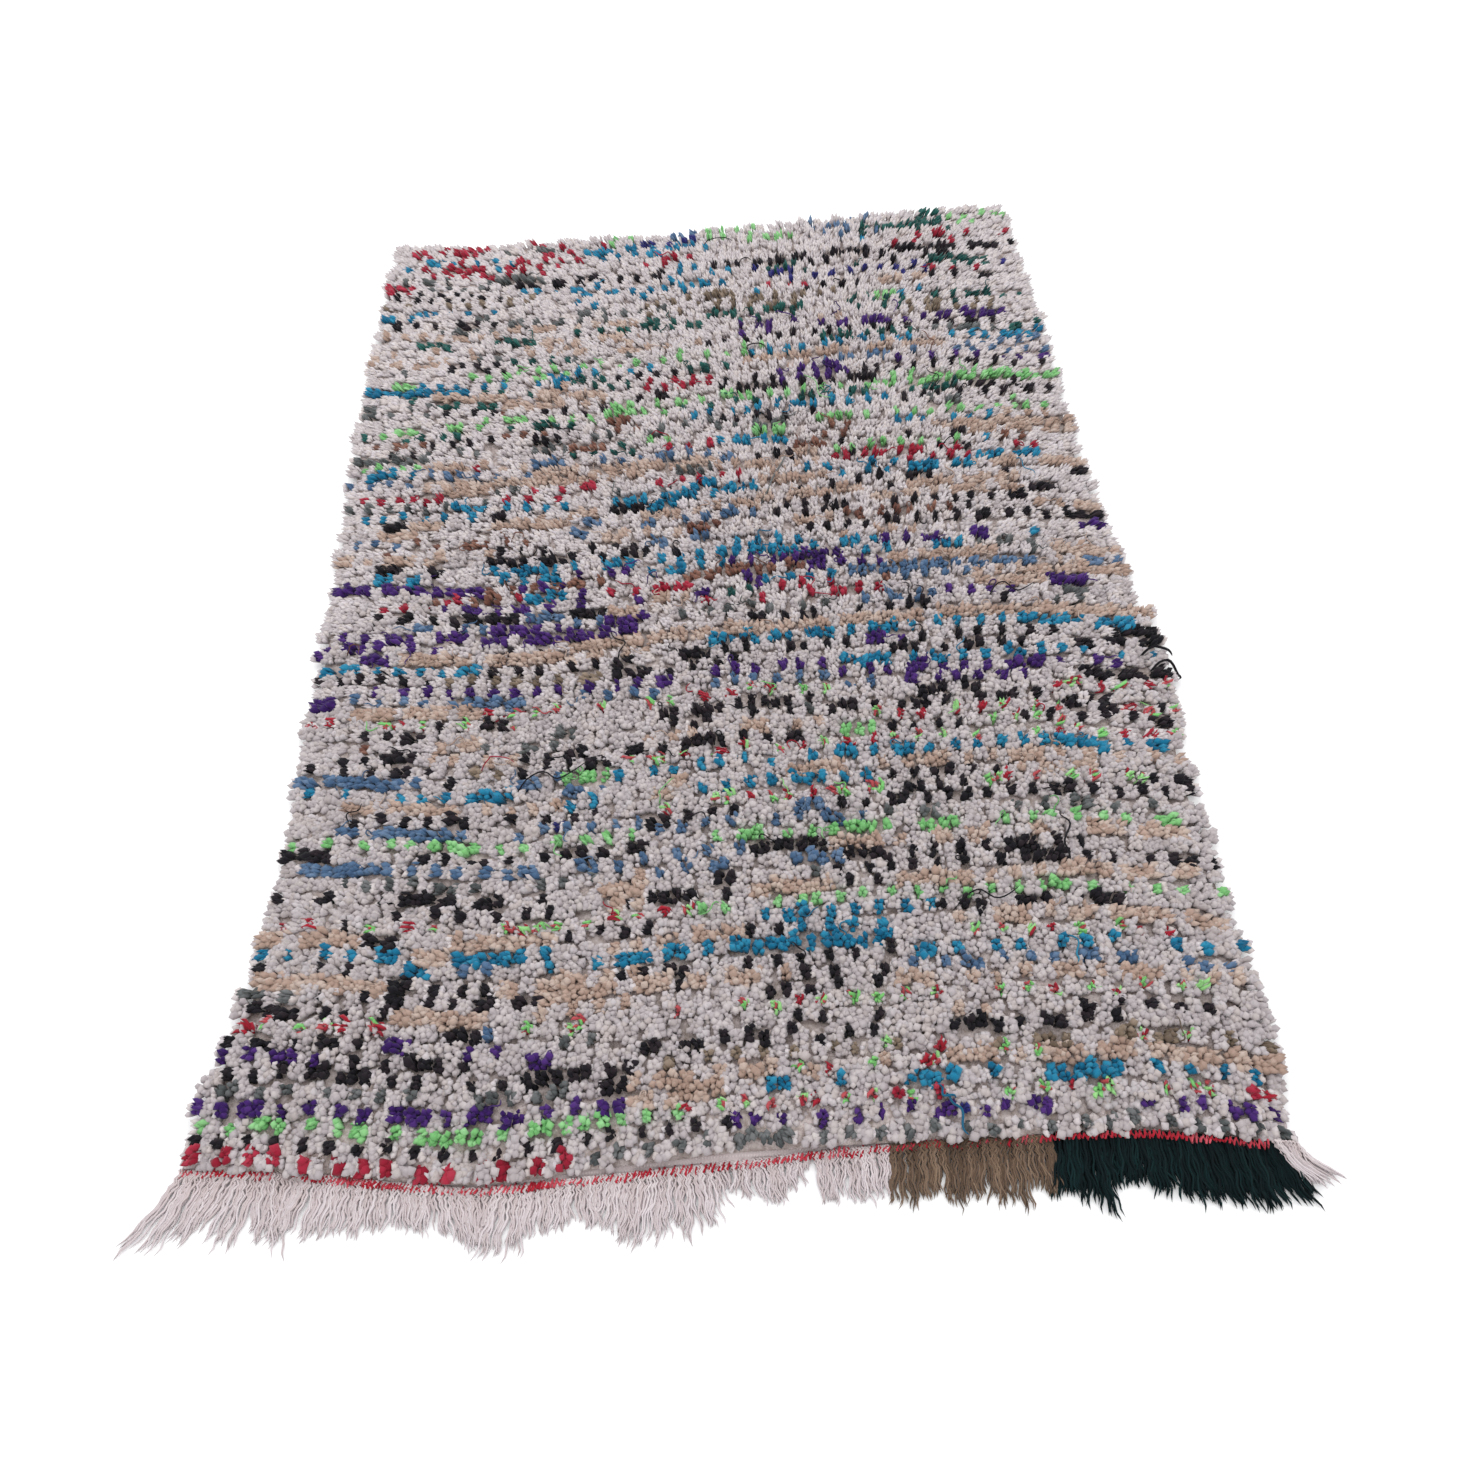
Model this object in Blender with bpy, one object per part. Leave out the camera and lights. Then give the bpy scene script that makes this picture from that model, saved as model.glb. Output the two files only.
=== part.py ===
"""Long-pile azilal rug, lying flat, with its fringed hem towards -Y.

The rug is one knotted cloth: a lumpy slab of shaggy pile, with locks round its rim, a soft
lengthwise fold where the pile parts, and a bare woven lip along the near hem. A twined row of
yarn closes that hem. Beyond it the warp ends are six groups of fringe, and the strands of each
group are fused at their roots into a narrow woven strip. All of it rests level on z = 0.
"""

import math
import random
from collections import namedtuple

import bmesh
import bpy
from mathutils import Vector, noise

# Sizes in metres. X runs across the rug, Y from the fringed hem to the far edge, Z is up.
GAP = 0.0003
SEED = 23
UP = Vector((0.0, 0.0, 1.0))
ON_FLOOR = 1e-6

# The cloth: cells of the grid that carries its pile, the heights of that pile, and the rows of
# cells in the wider strip that closes each end of its underside.
COLUMNS = 46
ROWS = 74
PILE = 0.022
CLUMP = 0.010
CLUMP_STRAY = 0.0030
SWELL = 0.003
SWELL_SPAN = 0.16
RIM = 0.016
RIM_STRAY = 0.002
SHIFT = 0.007
RIDGE = 0.009
RIDGE_FOOT = 0.085
END_STRIP = 6
SMOOTH_ANGLE = math.radians(50)

# The woven lip at the near hem, and how the first row of pile rises behind it.
WEAVE = 0.004
RISE_FOOT = 0.003
RISE_TOP = 0.018
RISE_SHARE = 0.62
LIP_ROWS = 1
RISE_ROWS = 3

# Locks of pile at the rim: the room they take, their reach and their form.
LOCK_ROOM = 0.022
LOCK_SHORT = 0.012
LOCK_LONG = 0.027
LOCK_DRIFT = 0.35
LOCK_TIP = 0.006
BARE_SHARE = 0.32

# Twined row: its depth in plan, its height, and the crossings of its two yarns in each cell.
TWINE_DEPTH = 0.006
TWINE_LOW = 0.0032
TWINE_HIGH = 0.0062
TWINE_CROSSINGS = 4

# Fringe strands: the strip at their roots, and the width and height of a strand.
STRIP = 0.005
STRAND_SHARE = 0.6
STRAND_TIP = 0.0022
STRAND_STRAY = 0.0007
LENGTH_SHORT = 0.95
LENGTH_LONG = 1.03

# The fringe waves sideways by SWAY: once for each WAVE across the rug, and through TURN radians
# from root to tip. A lean grows with this power of the length.
SWAY = 0.0022
WAVE = 0.21
TURN = 4.0
LEAN_POWER = 1.3

# A lock or strand keeps this share of its width along its upper edges.
TOP_SHARE = 0.72

# Outline of the cloth as its locks reach: the two long sides, at places along the rug.
Side = namedtuple("Side", "y left right")
SIDES = (
    Side(y=-1.12, left=-0.757, right=0.757),
    Side(y=-1.00, left=-0.752, right=0.776),
    Side(y=-0.89, left=-0.730, right=0.781),
    Side(y=-0.68, left=-0.711, right=0.780),
    Side(y=-0.49, left=-0.712, right=0.779),
    Side(y=-0.31, left=-0.718, right=0.804),
    Side(y=-0.16, left=-0.724, right=0.786),
    Side(y=0.19, left=-0.733, right=0.758),
    Side(y=0.56, left=-0.747, right=0.758),
    Side(y=1.16, left=-0.751, right=0.746),
)

# The two ends, at places across the rug: the hem, the bare woven band on it, and the far edge.
End = namedtuple("End", "x hem bare far")
ENDS = (
    End(x=-0.757, hem=-1.098, bare=0.006, far=1.156),
    End(x=-0.60, hem=-1.109, bare=0.005, far=1.147),
    End(x=-0.45, hem=-1.128, bare=0.006, far=1.144),
    End(x=-0.34, hem=-1.139, bare=0.010, far=1.144),
    End(x=-0.18, hem=-1.129, bare=0.016, far=1.146),
    End(x=0.00, hem=-1.117, bare=0.018, far=1.152),
    End(x=0.17, hem=-1.105, bare=0.010, far=1.168),
    End(x=0.30, hem=-1.100, bare=0.007, far=1.184),
    End(x=0.57, hem=-1.101, bare=0.006, far=1.213),
    End(x=0.757, hem=-1.126, bare=0.006, far=1.223),
)

# The lengthwise fold, whose crest wanders a little, and fades towards the far edge.
Fold = namedtuple("Fold", "y x share")
FOLDS = (
    Fold(y=-1.10, x=0.002, share=0.7),
    Fold(y=-0.70, x=0.010, share=1.0),
    Fold(y=-0.05, x=0.040, share=1.0),
    Fold(y=0.45, x=0.030, share=0.9),
    Fold(y=1.15, x=0.000, share=0.4),
)

# Fringe groups, each of one yarn: where its strip starts and ends, and how many strands it has.
Group = namedtuple("Group", "name start end strands colour")
GROUPS = (
    Group("fringe_cream_left", -0.755, -0.351, 41, (0.58, 0.50, 0.49)),
    Group("fringe_cream_middle", -0.345, 0.062, 41, (0.60, 0.53, 0.52)),
    Group("fringe_pale", 0.112, 0.211, 10, (0.62, 0.54, 0.52)),
    Group("fringe_brown", 0.215, 0.427, 22, (0.16, 0.11, 0.08)),
    Group("fringe_dark_green", 0.431, 0.733, 31, (0.004, 0.016, 0.020)),
    Group("fringe_corner", 0.737, 0.755, 2, (0.60, 0.53, 0.52)),
)

# How the fringe falls, at places across the rug: its length, and its lean sideways.
Fall = namedtuple("Fall", "x length lean")
FALLS = (
    Fall(x=-0.757, length=0.094, lean=-0.60),
    Fall(x=-0.70, length=0.092, lean=-0.34),
    Fall(x=-0.58, length=0.084, lean=-0.08),
    Fall(x=-0.45, length=0.066, lean=0.02),
    Fall(x=-0.36, length=0.070, lean=0.05),
    Fall(x=-0.325, length=0.088, lean=0.00),
    Fall(x=-0.22, length=0.060, lean=-0.05),
    Fall(x=-0.10, length=0.090, lean=0.00),
    Fall(x=-0.03, length=0.062, lean=0.06),
    Fall(x=0.15, length=0.067, lean=0.02),
    Fall(x=0.39, length=0.083, lean=-0.03),
    Fall(x=0.48, length=0.097, lean=0.00),
    Fall(x=0.565, length=0.074, lean=0.02),
    Fall(x=0.63, length=0.098, lean=0.05),
    Fall(x=0.72, length=0.086, lean=0.25),
    Fall(x=0.757, length=0.068, lean=0.60),
)

# Where a lock or strand is measured, as shares of its length, width and height at its root.
Station = namedtuple("Station", "along width height")
LOCK_STATIONS = (Station(0.55, 0.82, 0.85), Station(1.0, 0.42, 0.0))
STRAND_STATIONS = (Station(0.36, 0.94, 0.80), Station(0.70, 0.84, 0.45), Station(1.0, 0.50, 0.0))


def slope(places, values, k):
    """Slope of a table's curve at one of its rows, from the rows beside it."""
    before = max(k - 1, 0)
    after = min(k + 1, len(places) - 1)
    return (values[after] - values[before]) / (places[after] - places[before])


def read(table, column, at):
    """Read a column on a smooth curve through the table's rows, at a place on its first column."""
    places = [row[0] for row in table]
    values = [getattr(row, column) for row in table]
    at = min(max(at, places[0]), places[-1])
    k = max(n for n, place in enumerate(places[:-1]) if place <= at)
    span = places[k + 1] - places[k]
    t = (at - places[k]) / span
    start = slope(places, values, k) * span
    end = slope(places, values, k + 1) * span
    rise = values[k + 1] - values[k]
    return values[k] + t * start + t**2 * (3 * rise - 2 * start - end) + t**3 * (start + end - 2 * rise)


def blend(a, b, share):
    """Value at a share of the way from a to b."""
    return a + (b - a) * share


def smooth(share):
    """Ease a share that runs from 0 to 1, so that it starts and ends level."""
    share = min(max(share, 0.0), 1.0)
    return share * share * (3.0 - 2.0 * share)


def cloth_point(i, j):
    """Plan position of a grid point of the cloth, in column i and row j."""
    room = LOCK_ROOM if j > LIP_ROWS else 0.0
    along = blend(SIDES[0].y, SIDES[-1].y, j / ROWS)
    left = read(SIDES, "left", along) + room
    right = read(SIDES, "right", along) - room
    x = blend(left, right, i / COLUMNS)
    hem = read(ENDS, "hem", x)
    bare = hem + read(ENDS, "bare", x)
    far = read(ENDS, "far", x) - LOCK_ROOM
    near = (hem, bare, bare + RISE_FOOT, bare + RISE_TOP)
    if j <= RISE_ROWS:
        return x, near[j]
    return x, blend(near[-1], far, (j - RISE_ROWS) / (ROWS - RISE_ROWS))


def hem_at(x):
    """Y of the hem, along the straight edges between the cloth's own hem points."""
    first = cloth_point(0, 0)[0]
    last = cloth_point(COLUMNS, 0)[0]
    place = min(max((x - first) / (last - first) * COLUMNS, 0.0), float(COLUMNS))
    k = min(int(place), COLUMNS - 1)
    return blend(cloth_point(k, 0)[1], cloth_point(k + 1, 0)[1], place - k)


def ridge_at(x, y):
    """Height that the lengthwise fold adds to the pile."""
    off = abs(x - read(FOLDS, "x", y)) / RIDGE_FOOT
    return RIDGE * read(FOLDS, "share", y) * smooth(1.0 - off)


def pile_at(x, y, i, j, rng):
    """Height of the cloth at a grid point: woven lip, rising first row, rim or open field.

    In the field every second point of every second row is the crest of a clump of tufts.
    """
    if j <= LIP_ROWS:
        return WEAVE
    if i in (0, COLUMNS) or j == ROWS:
        return RIM + rng.uniform(-RIM_STRAY, RIM_STRAY)
    swell = SWELL * noise.noise(Vector((x, y, 0.0)) / SWELL_SPAN)
    crest = j % 2 == 1 and (i + j // 2) % 2 == 0
    clump = CLUMP * crest + rng.uniform(-CLUMP_STRAY, CLUMP_STRAY)
    height = PILE + swell + clump + ridge_at(x, y)
    if j < RISE_ROWS:
        return blend(WEAVE, height, RISE_SHARE)
    return height


def shape_grid(mesh, rng):
    """Give every point of the flat grid its place on the cloth, and return the points by cell."""
    points = {}
    for vert in mesh.verts:
        i = round((vert.co.x + 0.5) * COLUMNS)
        j = round((vert.co.y + 0.5) * ROWS)
        points[i, j] = vert
    for (i, j), vert in sorted(points.items(), key=lambda item: item[0]):
        x, y = cloth_point(i, j)
        z = pile_at(x, y, i, j, rng)
        if 0 < i < COLUMNS and RISE_ROWS < j < ROWS:
            x += rng.uniform(-SHIFT, SHIFT)
            y += rng.uniform(-SHIFT, SHIFT)
        vert.co = (x, y, z)
    return points


def drop_walls(mesh):
    """Extrude the boundary of an open sheet down to the floor, and return the wall faces."""
    border = [edge for edge in mesh.edges if edge.is_boundary]
    walls = bmesh.ops.extrude_edge_only(mesh, edges=border)["geom"]
    for vert in walls:
        if isinstance(vert, bmesh.types.BMVert):
            vert.co.z = 0.0
    return [face for face in walls if isinstance(face, bmesh.types.BMFace)]


def foot_of(vert):
    """Floor point below a point of the rim."""
    feet = [edge.other_vert(vert) for edge in vert.link_edges]
    return next(foot for foot in feet if foot.co.z < ON_FLOOR)


def floor_cloth(mesh, points):
    """Close the cloth's underside with flat strips from side to side.

    Each end has one wider strip, deep enough to hold all of that end's uneven edge.
    """
    left = [foot_of(points[0, j]) for j in range(ROWS + 1)]
    right = [foot_of(points[COLUMNS, j]) for j in range(ROWS + 1)]
    hem = [foot_of(points[i, 0]) for i in range(1, COLUMNS)]
    far = [foot_of(points[i, ROWS]) for i in range(1, COLUMNS)]
    mesh.faces.new(left[END_STRIP::-1] + hem + right[: END_STRIP + 1])
    for j in range(END_STRIP, ROWS - END_STRIP):
        mesh.faces.new((left[j + 1], left[j], right[j], right[j + 1]))
    mesh.faces.new(right[ROWS - END_STRIP :] + far[::-1] + left[: ROWS - END_STRIP - 1 : -1])


def grow(mesh, face, middles, halves, heights):
    """Draw an upright face out into a four-sided lock that rests level on the floor.

    The face is extruded once for each middle, which is a point on the floor, with the lock's
    half width and its height there.
    """
    across = face.normal.cross(UP).normalized()
    for middle, half, height in zip(middles, halves, heights):
        face = bmesh.ops.extrude_discrete_faces(mesh, faces=[face])["faces"][0]
        centre = face.calc_center_median()
        for vert in face.verts:
            side = math.copysign(half, (vert.co - centre).dot(across))
            if vert.co.z < ON_FLOOR:
                vert.co = middle + across * side
            else:
                vert.co = middle + across * side * TOP_SHARE + UP * height


def grow_lock(mesh, wall, rng):
    """Grow one lock of pile out of a face of the rim's wall."""
    outward = Vector((wall.normal.x, wall.normal.y, 0.0)).normalized()
    sideways = outward.cross(UP) * rng.uniform(-LOCK_DRIFT, LOCK_DRIFT)
    reach = (outward + sideways) * rng.uniform(LOCK_SHORT, LOCK_LONG)
    feet = [vert.co for vert in wall.verts if vert.co.z < ON_FLOOR]
    root = (feet[0] + feet[1]) / 2
    half = (feet[0] - feet[1]).length / 2
    middles = [root + reach * station.along for station in LOCK_STATIONS]
    halves = [half * station.width for station in LOCK_STATIONS]
    heights = [blend(LOCK_TIP, RIM, station.height) for station in LOCK_STATIONS]
    grow(mesh, wall, middles, halves, heights)


def grow_rim(mesh, walls, rng):
    """Grow locks from the walls of the sides and the far edge, leaving some faces bare."""
    standing = [wall for wall in walls if min(sorted(v.co.z for v in wall.verts)[2:]) > RIM / 2]
    order = sorted(standing, key=lambda wall: tuple(wall.calc_center_median()))
    bare = False
    for wall in order:
        bare = not bare and rng.random() < BARE_SHARE
        if not bare:
            grow_lock(mesh, wall, rng)


def make_object(mesh, name, colour, smooth_angle=None):
    """Turn a closed bmesh into a named object with its own wool finish."""
    bmesh.ops.recalc_face_normals(mesh, faces=mesh.faces)
    bmesh.ops.triangulate(mesh, faces=mesh.faces)
    data = bpy.data.meshes.new(name)
    mesh.to_mesh(data)
    mesh.free()
    if smooth_angle is not None:
        data.shade_smooth()
        data.set_sharp_from_angle(angle=smooth_angle)
    data.materials.append(wool(name, colour))
    piece = bpy.data.objects.new(name, data)
    bpy.context.collection.objects.link(piece)
    return piece


def wool(name, colour):
    """Matt wool of one colour."""
    finish = bpy.data.materials.new("wool_" + name)
    finish.use_nodes = True
    shader = finish.node_tree.nodes["Principled BSDF"]
    shader.inputs["Base Color"].default_value = (*colour, 1.0)
    shader.inputs["Roughness"].default_value = 0.95
    shader.inputs["Metallic"].default_value = 0.0
    return finish


def make_cloth():
    """The knotted cloth: shaggy slab, locks at its rim, fold and woven lip, in one body."""
    rng = random.Random(SEED)
    mesh = bmesh.new()
    bmesh.ops.create_grid(mesh, x_segments=COLUMNS, y_segments=ROWS, size=0.5)
    points = shape_grid(mesh, rng)
    walls = drop_walls(mesh)
    floor_cloth(mesh, points)
    bmesh.ops.recalc_face_normals(mesh, faces=mesh.faces)
    grow_rim(mesh, walls, rng)
    return make_object(mesh, "rug_pile", (0.42, 0.36, 0.36), SMOOTH_ANGLE)


def make_twined_row():
    """Twined row along the hem: a low bar on the floor, whose two yarns cross over on top."""
    steps = COLUMNS * TWINE_CROSSINGS
    first = cloth_point(0, 0)[0]
    last = cloth_point(COLUMNS, 0)[0]
    mesh = bmesh.new()
    rings = []
    for step in range(steps + 1):
        x = blend(first, last, step / steps)
        back = hem_at(x) - GAP
        front = back - TWINE_DEPTH
        low, high = (TWINE_LOW, TWINE_HIGH) if step % 2 else (TWINE_HIGH, TWINE_LOW)
        corners = ((back, 0.0), (front, 0.0), (front, low), (back, high))
        rings.append([mesh.verts.new((x, y, z)) for y, z in corners])
    for before, after in zip(rings, rings[1:]):
        for k in range(4):
            mesh.faces.new((before[k], before[(k + 1) % 4], after[(k + 1) % 4], after[k]))
    mesh.faces.new(rings[0])
    mesh.faces.new(rings[-1])
    return make_object(mesh, "twined_row", (0.45, 0.02, 0.04))


def strand_edges(group):
    """X of the two edges of every strand's root on the group's strip, from left to right."""
    pitch = (group.end - group.start) / (group.strands - 1 + STRAND_SHARE)
    starts = [group.start + pitch * k for k in range(group.strands)]
    return [(start, start + pitch * STRAND_SHARE) for start in starts]


def grow_strand(mesh, face, rng):
    """Grow one wavy strand of fringe out of its face on the strip's front."""
    feet = [vert.co for vert in face.verts if vert.co.z < ON_FLOOR]
    root = (feet[0] + feet[1]) / 2
    half = (feet[0] - feet[1]).length / 2
    length = read(FALLS, "length", root.x) - TWINE_DEPTH - STRIP - 2 * GAP
    length *= rng.uniform(LENGTH_SHORT, LENGTH_LONG)
    lean = read(FALLS, "lean", root.x) * length
    start = root.x / WAVE * math.tau
    middles = []
    for station in STRAND_STATIONS:
        sway = SWAY * math.sin(start + TURN * station.along) * smooth(station.along * 2)
        aside = lean * station.along**LEAN_POWER + sway + rng.uniform(-STRAND_STRAY, STRAND_STRAY)
        middles.append(root + Vector((aside, -length * station.along, 0.0)))
    halves = [half * station.width for station in STRAND_STATIONS]
    heights = [blend(STRAND_TIP, WEAVE, station.height) for station in STRAND_STATIONS]
    grow(mesh, face, middles, halves, heights)


def make_fringe(group, rng):
    """One group of fringe: a narrow woven strip with all the group's strands fused into it."""
    edges = [x for pair in strand_edges(group) for x in pair]
    mesh = bmesh.new()
    bmesh.ops.create_grid(mesh, x_segments=len(edges) - 1, y_segments=1, size=0.5)
    for vert in mesh.verts:
        x = edges[round((vert.co.x + 0.5) * (len(edges) - 1))]
        back = hem_at(x) - TWINE_DEPTH - 2 * GAP
        vert.co = (x, back if vert.co.y > 0 else back - STRIP, WEAVE)
    tops = list(mesh.faces)
    walls = drop_walls(mesh)
    for face in tops:
        mesh.faces.new([foot_of(vert) for vert in reversed(face.verts)])
    bmesh.ops.recalc_face_normals(mesh, faces=mesh.faces)
    fronts = [wall for wall in walls if wall.normal.y < -0.9]
    fronts.sort(key=lambda wall: wall.calc_center_median().x)
    for face in fronts[::2]:
        grow_strand(mesh, face, rng)
    return make_object(mesh, group.name, group.colour)


def centre(pieces):
    """Put the middle of the rug's box over the origin, by the pieces' locations."""
    corners = [vert.co for piece in pieces for vert in piece.data.vertices]
    low = Vector(min(corner[k] for corner in corners) for k in range(3))
    high = Vector(max(corner[k] for corner in corners) for k in range(3))
    middle = (low + high) / 2
    for piece in pieces:
        piece.location = (-middle.x, -middle.y, 0.0)


def main():
    """Clear the scene, then make the cloth, its twined row and its fringe."""
    for old in list(bpy.data.objects):
        bpy.data.objects.remove(old, do_unlink=True)
    pieces = [make_cloth(), make_twined_row()]
    rng = random.Random(SEED + 1)
    pieces += [make_fringe(group, rng) for group in GROUPS]
    centre(pieces)


main()
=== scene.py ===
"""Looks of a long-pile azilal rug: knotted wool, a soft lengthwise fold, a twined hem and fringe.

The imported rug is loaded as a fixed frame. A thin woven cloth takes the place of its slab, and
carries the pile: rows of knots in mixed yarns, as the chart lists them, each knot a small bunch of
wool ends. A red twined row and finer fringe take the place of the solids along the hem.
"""

import logging
import math
from collections.abc import Callable, Sequence
from dataclasses import dataclass, field, fields, replace
from enum import Enum
from functools import cache, reduce

import bpy
import numpy as np
from mathutils import Matrix, Vector


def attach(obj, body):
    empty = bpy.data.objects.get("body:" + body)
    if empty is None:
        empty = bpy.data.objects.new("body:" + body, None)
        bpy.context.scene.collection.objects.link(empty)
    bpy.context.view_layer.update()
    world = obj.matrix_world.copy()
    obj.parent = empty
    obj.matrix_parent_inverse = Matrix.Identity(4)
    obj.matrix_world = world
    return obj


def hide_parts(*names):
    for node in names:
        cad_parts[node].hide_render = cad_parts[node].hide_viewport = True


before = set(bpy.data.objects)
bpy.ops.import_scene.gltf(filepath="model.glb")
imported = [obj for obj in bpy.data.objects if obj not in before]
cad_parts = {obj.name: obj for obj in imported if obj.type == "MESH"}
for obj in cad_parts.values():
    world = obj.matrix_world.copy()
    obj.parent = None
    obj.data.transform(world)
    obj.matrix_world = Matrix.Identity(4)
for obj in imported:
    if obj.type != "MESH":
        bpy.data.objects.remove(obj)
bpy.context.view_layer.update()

BODY = "root"
SEED = 41
# Cells across the strands' own map, each of which takes one shade of the yarn.
SHADES = 16
MAP = "OFBake"
# Triangles in a piece, past which it is split.
MOST_FACES = 185_000
UP = (0.0, 0.0, 1.0)
ACROSS = (1.0, 0.0, 0.0)

Rgb = tuple[int, int, int]
Feed = bpy.types.NodeSocket | float | tuple[float, ...]

log = logging.getLogger("azilal_rug")


class Yarn(Enum):
    """Yarns of the rug, by the letter that the chart gives them."""

    GROUND = "W"
    BLACK = "K"
    CERULEAN = "B"
    LIME = "L"
    PURPLE = "P"
    RED = "R"
    MELANGE = "M"
    CHARCOAL = "G"
    BOTTLE = "D"
    TAN = "T"
    SLATE = "S"
    NAVY = "N"
    BROWN = "O"
    TAUPE = "U"


class Packing(Enum):
    """How often a run in the chart knots its yarn rather than the pale ground yarn."""

    EVEN = ":"
    ALTERNATE = "-"
    SOLID = "="
    SPARSE = "~"


class RecordSlot(Enum):
    """Material slots of the record, one for each kind of piece; the pieces are handed one but take
    their finish from their own materials.
    """

    PILE = "pile_wool"
    RED = "red_yarn"
    CREAM = "cream_warp"
    BROWN = "brown_warp"
    GREEN = "dark_green_warp"
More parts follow.
